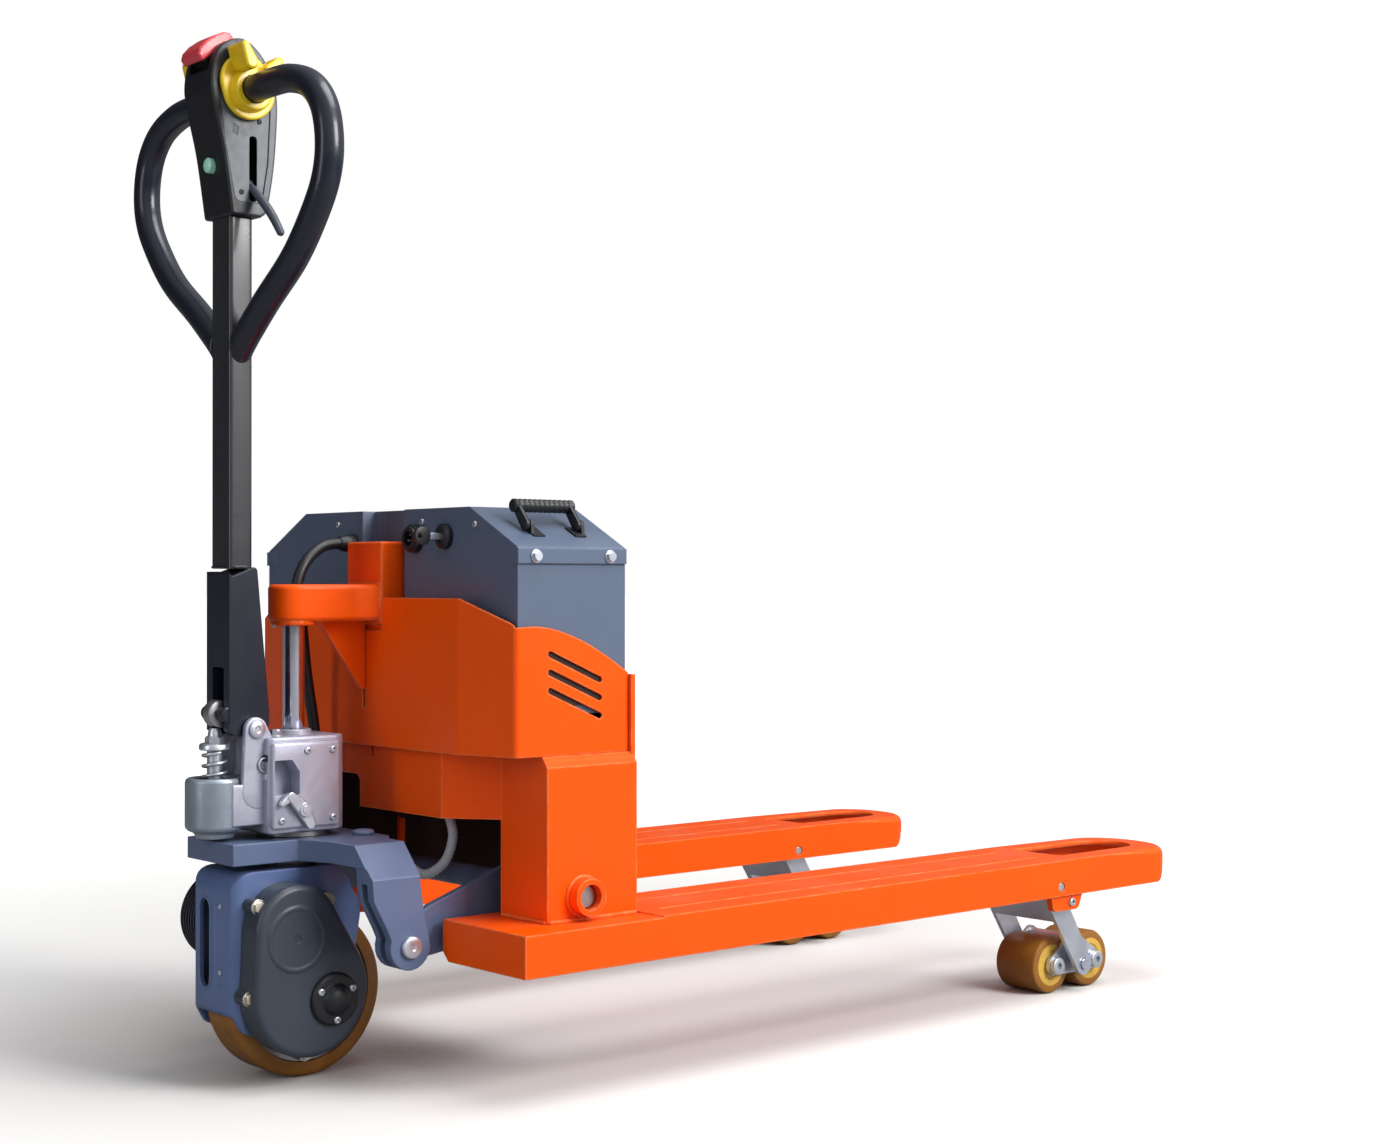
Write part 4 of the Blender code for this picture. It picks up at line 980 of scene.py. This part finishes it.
def make_key():
    """Key switch: a collared body, a slotted barrel that turns with the key, and the key."""
    low, high = span("key_switch")
    front = low.y
    collar = [(0, 0), (0, 11), (1, 12.2), (3, 15), (8.7, 15), (8.7, 7.5)]
    body = turned("Y", KEY, placed(collar, front) + [(high.y, 7.5), (high.y, 0)])
    cut(body, disc("Y", KEY, 5.6, front - 5, front + 17))
    piece("switch_body", body, "black_plastic", "chassis", bevel=0.4, replaces=["key_switch"])
    barrel = [(1.5, 0), (1.5, 4.6), (2, 5.4), (16, 5.4), (16, 0)]
    barrel = turned("Y", KEY, placed(barrel, front), 32)
    cut(barrel, block((KEY[0] - 1.5, KEY[0] + 1.5), (front - 4, front + 16.5), (KEY[1] - 4.3, KEY[1] + 4.3)))
    piece("key_barrel", barrel, "steel", "key", bevel=0.2)
    low, high = span("key")
    blade = block((KEY[0] - 1.1, KEY[0] + 1.1), (low.y + 14, high.y), (KEY[1] - 3.8, KEY[1] + 3.8))
    piece("key_blade", blade, "zinc", "key", bevel=0.35, replaces=["key"])
    bow = rounded(disc("X", (low.y + 11, KEY[1]), 11, KEY[0] - 2.4, KEY[0] + 2.4, 48), 1.0, 3)
    cut(bow, disc("X", (low.y + 6.5, KEY[1]), 3.2, KEY[0] - 5, KEY[0] + 5, 24))
    piece("key_bow", bow, "black_plastic", "key")


def make_carry_handle():
    """Folding handle with a ribbed grip, on two tabs that stand on the lid's slope."""
    low, high = span("lid_handle")
    grip_x, grip_z = LID[0] - 17, LID[1] + 22
    legs = []
    for y in (low.y + 4, high.y - 9):
        plate = prism("Y", belt((*LID, 7), (grip_x, grip_z, 6), sides=32), y, y + 5)
        legs.append(rounded(plate, 1.0, 2))
    grip = [(low.y, 0), (low.y, 6.4), (low.y + 1.6, 8)]
    count = 11
    for i in range(count):
        y = low.y + 8 + (high.y - low.y - 16) * i / (count - 1)
        grip += [(y - 2.4, 8), (y - 1.2, 7.3), (y + 1.2, 7.3), (y + 2.4, 8)]
    grip += [(high.y - 1.6, 8), (high.y, 6.4), (high.y, 0)]
    bar = turned("Y", (grip_x, grip_z), grip, 40)
    piece("carry_grip", bar, "black_plastic", "lid_handle", replaces=["lid_handle"])
    for i, leg in enumerate(legs):
        piece("carry_leg_%d" % (i + 1), leg, "black_plastic", "lid_handle")
    run, rise = COVER_SHOULDER[0] - COVER_FLAT[0], COVER_FLAT[1] - COVER_SHOULDER[1]
    slope = Vector((-run, 0, rise)).normalized()
    out = Vector((slope.z, 0, -slope.x))
    ground = Vector((LID[0], 0, COVER_SHOULDER[1] + (COVER_SHOULDER[0] - LID[0]) * rise / run))
    upper, lower = ground + slope * 12, ground - slope * 12
    foot = [upper, lower, lower + out * 2, upper + out * 2]
    web = hull([(ground.x - 7, ground.z - 3), (ground.x + 7, ground.z - 3)] + circle(LID, 6, 24))
    ends = (low.y + 11, high.y - 16)
    ear_ends = ((ends[0] - 0.6, ends[0] + 4), (ends[1] + 12, ends[1] + 16.6))
    for i, (y, ear_y) in enumerate(zip(ends, ear_ends)):
        pad = prism("Y", [(p.x, p.z) for p in foot], y, y + 16)
        tab = join(pad, prism("Y", web, *ear_y))
        piece("carry_tab_%d" % (i + 1), tab, "black_plastic", "chassis", bevel=0.5)


# ---------------- base and rocker
def make_base():
    """Base plate with its pins, the rocker that lifts on them, and the fittings on the plate."""
    dress("base_plate", "blue_grey_paint", 2.0, 3)
    dress("thrust_bearing", "steel", 0.6)
    dress("rocker_frame", "blue_grey_paint", 1.6, 3)
    for name, s in SIDES.items():
        ends = [(148, 0), (148, 7.5), (149.5, 9), (184.3, 9), (184.3, 13), (187.6, 13), (189.2, 12),
                (190, 10), (190, 4), (189, 3), (189, 0)]
        pin = turned("X", BASE_PIN, placed(ends, 0, s), 48)
        piece("base_pin_head_" + name, pin, "zinc", "base", replaces=["base_pin_" + name])
    stub = [(0, 0), (0, 12.4), (1, 13), (3.6, 13), (5.6, 11), (6.2, 8), (6.2, 5), (4.2, 4), (4.2, 0)]
    stub = turned("Z", (66, -34), placed(stub, BASE_TOP), 40)
    piece("base_stub_boss", stub, "blue_grey_paint", "base")
    bolt("base_cable_clip_bolt", (-80, -64, BASE_TOP), Z, 6.5, "base", height=6)


# ---------------- drive unit
def make_drive_wheel():
    """Polyurethane tyre on a dished rim with six holes, and the gears beside it."""
    low, high = span("drive_tyre")
    radius = (high.z - low.z) / 2
    half, centre = (high.x - low.x) / 2, (high.x + low.x) / 2
    tread = [(-half, 82.5), (-half, radius - 8), (-half + 1.2, radius - 4), (-half + 4, radius - 1.2),
             (-half + 8, radius), (half - 8, radius), (half - 4, radius - 1.2), (half - 1.2, radius - 4),
             (half, radius - 8), (half, 82.5)]
    tyre = turned("X", WHEEL, placed(tread, centre), 160, closed=True)
    piece("wheel_tread", tyre, "polyurethane", "drive_wheel", replaces=["drive_tyre"])
    rim = turned("X", WHEEL, [(-39, 0), (-39, 13), (-37, 15), (-28, 15), (-28, 37), (-26, 40), (-16, 46),
                              (-16, 70), (-18, 73), (-26, 76), (-26, 82), (34, 82), (34, 76), (26, 73),
                              (24, 70), (24, 46), (34, 40), (36, 37), (36, 15), (90, 15), (90, 0)], 96)
    holes = [disc("X", on_circle(WHEEL, 59, 30 + 60 * i), 7.5, -25, 35, 32) for i in range(6)]
    piece("wheel_rim", cut(rim, *holes), "steel", "drive_wheel", bevel=0.5, replaces=["drive_rim"])
    dress("wheel_gear", "steel", 0.3)
    dress("idler_gear", "steel", 0.3)
    dress("motor_pinion", "steel", 0.3)


def make_housing():
    """Cast trough over the wheel, its slotted nose, a raised rib and a sunk panel beside the slot."""
    front_view = [(-120, 250), (-202, 250), (-202, 92), (-186, 66), (-168, 58), (-160, 80), (-150, 110)]
    side_view = fillet(front_view, [0, 26, 14, 12, 6, 14, 0])
    rear_view = [(-68, 100), (-52, 150), (-40, 190), (-48, 232), (-70, 250), (-90, 250)]
    side_view += arc(WHEEL, 24, 200, 360, 32) + fillet(rear_view, [0, 20, 24, 14, 0, 0])[1:-1]
    housing = prism("X", side_view, -40, 58)
    plan = fillet([(-40, -202), (58, -202), (58, -20), (-40, -20)], [12, 17, 0, 0], 10)
    combine(housing, [prism("Z", plan, 40, 260)], "INTERSECT")
    cheek_view = belt((-78, 190, 45), (*UPPER_LOBE, 50), (*LOWER_LOBE, 72), sides=96)
    cheek = rounded(prism("X", cheek_view, 45, 58), 1.5, 2, 55)
    join(housing, cheek)
    room = fillet([(-197, 245), (-197, 30), (20, 30), (20, 245)], [22, 0, 0, 8])
    cut(housing, prism("X", room, -35, 45), prism("X", [(-150, 40), (20, 40), (20, 60), (-150, 60)], -60, 45))
    panel = rounded(block((15, 36), (-206, -200.6), (118, 214)), 3, 3)
    cut(housing, prism("Y", belt((-8, 125, 12), (-8, 204, 12), sides=48), -215, -190),
        block((-20, 15), (-215, -150), (50, 76)), disc("X", WHEEL, 16, -60, 70),
        disc("X", PINION, 8, -60, 70), panel)
    join(housing, disc("X", IDLER, 6, 50, 88))
    piece("housing_casting", housing, "housing_paint", "drive_unit", bevel=0.8, replaces=["drive_housing"])
    rim = belt((-8, 125, 13.2), (-8, 204, 13.2), sides=48)
    slot_rim = [(x, -201.9, z) for x, z in rim]
    piece("housing_slot_rim", sweep(slot_rim, 1.6, 12, closed=True), "housing_paint", "drive_unit")
    places = [(25.5, -200.8, 134), (25.5, -200.8, 210)]
    row(cap_screw, "housing_front_screw", places, -Y, 3.6, "drive_unit", height=1.2)


def make_gear_cover():
    """Dished cover over the gear train, with a raised disc, four bolt lugs and the hub's domed cap."""
    outer = belt((*UPPER_LOBE, 54), (*LOWER_LOBE, 75), sides=128)
    inner = belt((*UPPER_LOBE, 50), (*LOWER_LOBE, 71), sides=96)
    cover = rounded(prism("X", outer, 40, 95), 8, 8, 60)
    lugs = [rounded(disc("X", place, 9, 50, 78, 40), 1.8, 3) for place in CASE_LUGS]
    boss = [(90, 0), (90, 39), (95, 39), (96, 38), (96.4, 37), (96.5, 36), (96.5, 33.5), (95.6, 32.5),
            (95.6, 0)]
    boss = turned("X", CASE_DISC, boss, 96)
    join(cover, boss, *lugs)
    cut(cover, block((30, 58.3), (-260, 20), (20, 260)), prism("X", inner, 50, 91))
    cut(cover, disc("X", CASE_DISC, 4.5, 94.6, 98, 32))
    piece("gear_case", cover, "charcoal_paint", "drive_unit", bevel=0.5, replaces=["gear_cover"])
    places = [(78, *place) for place in CASE_LUGS]
    row(bolt, "gear_case_bolt", places, X, 6.2, "drive_unit", "brass_plate", 5.0)
    dome = [(95.3, 0), (95.3, 31), (97, 31), (99.5, 30.3), (101, 28.8), (101.4, 27), (101.4, 20),
            (102.2, 18.3), (104.5, 17), (108, 14.6), (110.5, 11), (111.7, 6), (112, 0)]
    dome = turned("X", WHEEL, dome, 96)
    piece("hub_dome", dome, "black_plastic", "drive_unit", bevel=0.3, replaces=["hub_cap"])
    places = [(101.3, *on_circle(WHEEL, 23.6, degrees)) for degrees in (28, 152, 270)]
    row(cap_screw, "hub_screw", places, X, 4.4, "drive_unit", height=3.2)


def make_motor():
    """Ribbed motor casing with four screws and a boss on its end."""
    low, high = span("drive_motor")
    profile = [(low.x, 0), (low.x, 36), (low.x + 1.5, 40), (low.x + 4, 44), (low.x + 6, 47)]
    ribs = 7
    step = (high.x - low.x - 14) / ribs
    for i in range(ribs):
        x = low.x + 7 + step * i
        profile += [(x, 47.5), (x + 0.6, 53.2), (x + 1.2, 54), (x + step - 3.4, 54), (x + step - 2.8, 53.2),
                    (x + step - 2.2, 47.5)]
    profile += [(high.x - 6, 49), (high.x - 5, 50), (high.x, 50), (high.x, 0)]
    motor = turned("X", UPPER_LOBE, profile, 96)
    cut(motor, disc("X", PINION, 8, -62, -30))
    piece("motor_case", motor, "black_powder", "drive_unit", bevel=0.3, replaces=["drive_motor"])
    places = [(low.x, *on_circle(UPPER_LOBE, 30, degrees)) for degrees in (45, 135, 225, 315)]
    row(cap_screw, "motor_screw", places, -X, 3.6, "drive_unit", height=2.6)
    hub = turned("X", UPPER_LOBE, placed([(-3, 0), (-3, 10), (-2, 12), (1, 13), (1, 0)], low.x), 40)
    piece("motor_end_boss", hub, "black_powder", "drive_unit")


# ---------------- pump
def make_pump():
    """Cast pump block with its ears for the tiller, the plunger's cylinder and the release valve."""
    plan = fillet([(-50, -150), (50, -150), (50, -58), (38, -45), (-38, -45), (-50, -58)], [7, 7, 8, 8, 8, 8])
    pump = rounded(prism("Z", plan, 290, PUMP_TOP), 3, 4, 50)
    neck = disc("Z", STEER, 28, 250.3, 295, 96)
    bridge = rounded(block((-31, 36), (-190, -139), (301, 349)), 2)
    ears = []
    for x in (-37, 29):
        ear = prism("X", belt((*TILLER, 14), (-148, 380, 18), (-158, 340, 20), sides=64), x, x + 8)
        ears.append(rounded(ear, 1.6, 3, 50))
    gland = [(400, 0), (400, 23), (403, 23), (403.5, 21.5), (406.5, 21), (408, 19.5), (408, 0)]
    gland = turned("Z", STEER, gland, 64)
    side = rounded(block((44, 56), (-149, -60), (296, 396)), 3, 3)
    rib = rounded(block((-44, 44), (-152, -140), (352, 360)), 2)
    join(pump, neck, bridge, *ears, gland, side, rib)
    window = fillet([(-147, 335), (-114, 335), (-114, 362), (-124, 376), (-147, 376)], 2)
    cut(pump, disc("Z", PLUNGER, 33.6, 250, 420), prism("X", window, 30, 60),
        disc("X", (-150, 378), 4, 20, 45, 24), disc("Z", STEER, 13.6, 268, 420),
        disc("X", TILLER, 7.6, -60, 60), disc("X", VALVE, 5.4, 45, 60, 32))
    piece("pump_casting", pump, "pump_alloy", "drive_unit", replaces=["pump_body"])
    barrel = [(286, 9.6), (286, 21), (287.5, 22.4), (291.5, 23.4), (293.5, 26), (295, 30), (298, 33.2),
              (301, 34), (351, 34), (354, 33), (356, 31), (356, 27), (354.6, 25.5), (SPRING_SEAT, 25.5),
              (SPRING_SEAT, 10.9), (344, 10.9), (344, 9.6)]
    piece("pump_barrel", turned("Z", PLUNGER, barrel, 96, closed=True), "cast_iron", "drive_unit", bevel=0.4)
    cap = SPRING_CAP
    rod = [(334, 0), (334, 8.2), (335, 9), (cap, 9), (cap, 17), (cap + 1, 18), (cap + 5.4, 18), (cap + 7, 17),
           (cap + 8, 15.5), (cap + 8, 8), (cap + 20, 8), (413.2, 6), (413.2, 0)]
    piece("plunger_rod", turned("Z", PLUNGER, rod, 56), "zinc", "plunger", replaces=["plunger"])
    nut = turn_to(hex_head(10, 8), (*PLUNGER, cap + 8), Z)
    piece("plunger_nut", nut, "zinc", "plunger", bevel=0.25)
    make_spring()
    knuckle = circle((-130, 334), 5.5, 24)
    claw = hull(circle(VALVE, 9, 32) + knuckle)
    tail = hull(circle(VALVE, 9, 32) + circle((-103, 300), 6, 24))
    hook = hull(knuckle + circle((-141, 326), 3.2, 20))
    lever = rounded(prism("X", claw, 58.2, 66), 1.6, 3)
    join(lever, rounded(prism("X", tail, 58.2, 64), 1.6, 3), rounded(prism("X", hook, 58.2, 65), 1.4, 3),
         disc("X", VALVE, 4.8, 47, 69, 24), disc("X", VALVE, 8, 57, 68, 40))
    piece("valve_claw", lever, "zinc", "valve_lever", bevel=0.6, replaces=["valve_lever"])
    bolt("pump_fitting_left", (-30, -128, PUMP_TOP), Z, 8, "drive_unit", height=9)
    bolt("pump_fitting_right", (28, -130, PUMP_TOP), Z, 6.5, "drive_unit", height=7)
    bolt("pump_plug", (20, -152, 378), -Y, 5, "drive_unit", height=3)
    places = [(56, -138, 306), (56, -70, 306), (56, -70, 386), (56, -104, 386)]
    row(cap_screw, "pump_side_screw", places, X, 4.2, "drive_unit", height=3.2)
    ring = [(39.4, y, z) for y, z in circle((-150, 370.5), 8.2, 36)]
    piece("hairpin_ring", sweep(ring, 1.1, 10, closed=True), "zinc", "drive_unit")


def make_spring():
    """Coil round the plunger, from the spring seat up to the cap."""
    turns, steps, wire, coil_radius = 5, 40, 2.0, 13.4
    start, end = SPRING_SEAT + wire + 0.3, SPRING_CAP - wire - 0.3
    count = turns * steps
    coil = []
    for i in range(count + 1):
        a = 2 * math.pi * i / steps
        rise = (end - start) * i / count
        coil.append((coil_radius * math.cos(a), PLUNGER[1] + coil_radius * math.sin(a), start + rise))
    crossing(sweep(coil, wire, 14), "plunger_coil", "zinc",
             "plunger_spring")


def crossing(obj, name, finish, node):
    """A piece left in the row frame on no body, in place of a hidden CAD node."""
    obj.name = name
    obj.data.name = name
    obj.data.materials.append(MATERIALS[finish])
    obj.data.shade_smooth()
    obj.data.set_sharp_from_angle(angle=math.radians(50))
    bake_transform(obj)
    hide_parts(node)


# ---------------- tiller and its loop
def make_tiller():
    """Yoke on the pump's ears with its follower wheel, the square tube and the handle loop."""
    side_view = fillet([(-190, 410), (-190, YOKE_TOP), (-154, YOKE_TOP), (-138, 432)], [0, 5, 5, 0])
    side_view += arc((-152, 419), 14, 0, -90, 12) + [(-182, 405)]
    yoke = rounded(prism("X", side_view, -27, 27), 4, 4, 50)
    cheeks = rounded(prism("X", belt((*PUMP_ROLLER, 9), (-170, 425, 14), sides=48), -26, 26), 2, 3, 50)
    join(yoke, cheeks)
    cut(yoke, rounded(block((-14, 14), (-220, -150), (395, 484)), 3, 3))
    join(yoke, disc("X", PUMP_ROLLER, 4.5, -20, 20, 32))
    cut(yoke, disc("X", TILLER, 7.6, -40, 40, 48))
    piece("yoke_casting", yoke, "black_powder", "tiller", bevel=0.6, replaces=["tiller_yoke"])
    pin = [(-41, 0), (-41, 8), (-40, 10), (-37.4, 10), (-37.4, 7), (37.4, 7), (37.4, 10), (40, 10), (41, 8),
           (41, 4), (40, 3), (40, 0)]
    piece("tiller_pin_bolt", turned("X", TILLER, pin, 48), "zinc", "tiller", replaces=["tiller_pin"])
    wheel = [(-9, 5), (-9, 13), (-8, 15.4), (-7, 16), (7, 16), (8, 15.4), (9, 13), (9, 5)]
    piece("pump_follower", turned("X", PUMP_ROLLER, wheel, 64, closed=True), "steel", "pump_roller",
          replaces=["pump_roller"])
    low, high = span("tiller_tube")
    section = fillet([(low.x, low.y), (high.x, low.y), (high.x, high.y), (low.x, high.y)], 4.5)
    tube = prism("Z", section, low.z - 2, high.z)
    piece("tube_mast", tube, "tube_black", "tiller", replaces=["tiller_tube"])
    low_z, high_z = YOKE_TOP + 0.2, YOKE_TOP + 0.4
    front = [(-20, -187.4, low_z), (0, -187.8, high_z), (20, -187.4, low_z)]
    weld_bead("yoke_weld", front, 1.6, "tiller", "black_powder")
    side = [(22.9, -183, low_z), (23.1, -172, high_z), (22.9, -161, low_z)]
    weld_bead("yoke_weld_side", side, 1.6, "tiller", "black_powder")
    make_loop()


def make_loop():
    """Heart-shaped bar, thinner where it passes through the head."""
    half = [(216, 1063), (206, 1104), (178, 1133), (134, 1148), (90, 1151), (52, 1150)]
    lower = [(34, 868), (80, 903), (140, 944), (180, 984), (208, 1024)]
    right = smooth_route([(x, TUBE_Y, z) for x, z in lower + half], 5)
    right = [Vector((12, TUBE_Y, 849))] + right
    left = [Vector((-p.x, p.y, p.z)) for p in right[::-1]]
    route = right + [Vector((x, TUBE_Y, GRIP[1])) for x in (50, 49, 20, -20, -49, -50)] + left
    radii = [12.3 if abs(p.x) < 49.5 and p.z > 1100 else 16.0 for p in route]
    loop = sweep(route, radii, 40)
    cut(loop, block((-22.7, 22.7), (TUBE_Y - 40, TUBE_Y + 40), (790, 900)))
    piece("loop_bar", loop, "black_powder", "tiller", replaces=["handle_loop"])
    for name, s in SIDES.items():
        foot = []
        for i in range(25):
            a = 2 * math.pi * i / 24
            foot.append((s * 23.2, TUBE_Y + 14.6 * math.cos(a), 859 + 19.5 * math.sin(a)))
        weld_bead("loop_weld_" + name, foot, 2.0, "tiller", "black_powder")


# ---------------- control head
def head_outline():
    """Side view of the control head."""
    outline = [(-190, 1007), (-201, 1078), (-212, 1126), (-217, 1158), (-211, 1190), (-196, 1206),
               (-174, 1211), (-152, 1196), (-137, 1170), (-131, 1138), (-135, 1070), (-144, 1018),
               (-152, 1007)]
    return smooth_outline(outline, 3)


def make_head():
    """Two moulded half shells round the grip's cross tube, with a sunk panel on each side."""
    wide = HEAD_HALF
    panel_shape = fillet([(-186, 1022), (-200, 1094), (-206, 1140), (-203, 1174), (-192, 1192), (-172, 1198),
                          (-155, 1186), (-145, 1160), (-141, 1130), (-144, 1070), (-152, 1022)], 9)
    outer = head_outline()
    shells = {}
    for name in ("front", "rear"):
        shell = rounded(prism("X", outer, -wide, wide), 7, 6, 60)
        room = prism("X", shrunk(outer, 5), -wide + 5, wide - 5)
        sinks = [prism("X", panel_shape, *mirrored(s, wide - 1.6, wide + 9)) for s in SIDES.values()]
        other = (TUBE_Y - HEAD_GAP, -60) if name == "front" else (-280, TUBE_Y + HEAD_GAP)
        cut(shell, room, *sinks, block((-80, 80), other, (980, 1250)))
        shells[name] = shell
    corner, push, across = Vector((-206, 1202)), Vector((0.6, -0.8)), Vector((0.8, 0.6))

    def at(a, b):
        p = corner + push * a + across * b
        return (p.x, p.y)

    well = prism("X", [at(-30, -26.8), at(-30, 26.8), at(19, 26.8), at(19, -26.8)], -22.8, 22.8)
    cut(shells["front"], well, disc("Y", (0, HORN_Z), 9.7, -240, -180, 48), disc("X", GRIP, 18.6, -60, 60))
    cut(shells["rear"], block((26, 40), (-168, -158), (1024, 1100)), disc("X", GRIP, 18.6, -60, 60))
    piece("head_shell_front", shells["front"], "black_plastic", "tiller", bevel=0.7, replaces=["head_front"])
    piece("head_shell_rear", shells["rear"], "charcoal_paint", "tiller", bevel=0.7, replaces=["head_rear"])
    for name, s in SIDES.items():
        inner = shrunk(panel_shape, 0.8)
        panel = prism("X", inner, *mirrored(s, wide - 4.6, wide - 1.0))
        cutters = [disc("X", GRIP, 19, s * wide - 10, s * wide + 10)]
        if name == "right":
            slot = fillet([(-168, 1024), (-158, 1024), (-158, 1100), (-168, 1100)], 4)
            cutters.append(prism("X", slot, wide - 10, wide + 10))
        notch = fillet([(-190, 1098), (-183, 1098), (-181, 1112), (-189, 1112)], 1.5)
        cutters.append(prism("X", notch, *mirrored(s, wide - 2.2, wide + 4)))
        cut(panel, *cutters)
        piece("head_panel_" + name, panel, "grey_plastic", "tiller", bevel=0.5)
        places = [(s * (wide - 1.0), -178, 1034), (s * (wide - 1.0), -155, 1118)]
        row(cap_screw, "head_screw_" + name, places, X * s, 3.0, "tiller", "black_plastic", 1.4)
    pad = fillet([at(8, -26), at(-1, -26.2), at(-6, -20), at(-8.6, -8), at(-8.6, 8), at(-6, 20), at(-1, 26.2),
                  at(8, 26)], [0, 3, 6, 10, 10, 6, 3, 0])
    piece("belly_pad", rounded(prism("X", pad, -22, 22), 3.5, 5, 50), "red_plastic", "belly_button",
          replaces=["belly_button"])
    cap = [(-206.5, 0), (-206.3, 4), (-205.6, 7), (-204, 8.7), (-202, 9), (-190, 9), (-190, 12), (-188, 12),
           (-188, 0)]
    cap = turned("Y", (0, HORN_Z), cap, 56)
    piece("horn_cap", cap, "teal_plastic", "horn_button", replaces=["horn_button"])
    route = smooth_route([(20, -163, 1044), (34, -163, 1038), (52, -161, 1022), (70, -158, 1002),
                          (86, -156, 980)], 2.5)
    radii = [4.4 + 0.9 * math.sin(math.pi * i / (len(route) - 1)) for i in range(len(route))]
    radii[-1] = 2.6
    lever = sweep(route, radii, 24)
    knuckle = rounded(disc("Y", (20, 1044), 8, -167.4, -158.6, 40), 1.2, 3)
    piece("lift_lever_blade", join(lever, knuckle), "slate_plastic", "lift_lever", replaces=["lift_lever"])


def make_throttle():
    """Yellow twist throttle: a flange, a hub and two finger wings each side of the head."""
    sleeve = disc("X", GRIP, 17.8, -45, 45)
    hub = [(40, 0), (40, 26), (43, 25), (52, 24), (53.6, 23), (54, 21.5), (54, 0)]
    parts, wells = [], []
    for s in SIDES.values():
        flange = belt((*GRIP, 33), (GRIP[0] - 4, GRIP[1] + 10, 32), sides=96)
        parts.append(rounded(prism("X", flange, *mirrored(s, 34.8, 42)), 2.6, 5, 55))
        parts.append(turned("X", GRIP, placed(hub, 0, s), 64))
        upper = prism("X", belt((-186, 1176, 8), (-194, 1194, 5), sides=40), *mirrored(s, 37, 74))
        lower = prism("X", belt((-158, 1172, 7), (-146, 1184, 5), sides=40), *mirrored(s, 37, 66))
        parts += [rounded(upper, 3.4, 5, 50), rounded(lower, 3.0, 5, 50)]
        wells.append(disc("X", GRIP, 16.8, *mirrored(s, 49, 80)))
    join(sleeve, *parts)
    cut(sleeve, disc("X", GRIP, 12.8, -80, 80), *wells)
    piece("throttle_grip", sleeve, "yellow_plastic", "throttle", bevel=0.8, segments=3, replaces=["throttle"])


# ---------------- cables
def make_cables():
    """Power lead with its gland on the chassis, and the harness hose."""
    cable = [(-68, 46, 631), (-68, 14, 631), (-66, -12, 626), (-58, -40, 606), (-54, -54, 574),
             (-56, -46, 530), (-63, -35, 470), (-65, -24, 410), (-64, -17, 350), (-61, -15, 310),
             (-60, -15, 284)]
    route = smooth_route(cable, 4)
    crossing(sweep(route, 7.0, 28), "power_lead", "black_plastic",
             "power_cable")
    gland = [(35.7, 7.2), (35.7, 12), (29, 12), (28, 11), (22, 10.4), (14, 8.2), (14, 7.2)]
    gland = turned("Y", (-68, 631), gland, 40, closed=True)
    piece("lead_gland", gland, "black_plastic", "chassis", bevel=0.3)
    conduit = [(100, 60, 376.4), (100, 60, 340), (101, 64, 304), (104, 68, 276), (101, 58, 246),
               (94, 34, 232), (88, 14, 246), (85, 3, 262), (84, -8, 270)]
    route = smooth_route(conduit, 1.5)
    radii = [6.0 if i % 3 else 5.3 for i in range(len(route))]
    crossing(sweep(route, radii, 24), "harness_hose", "pale_hose",
             "harness_conduit")


make_camera()
make_light()
make_floor()
make_forks()
make_load_arms()
make_chassis()
make_cover()
make_base()
make_drive_wheel()
make_housing()
make_gear_cover()
make_motor()
make_pump()
make_tiller()
make_head()
make_throttle()
make_cables()
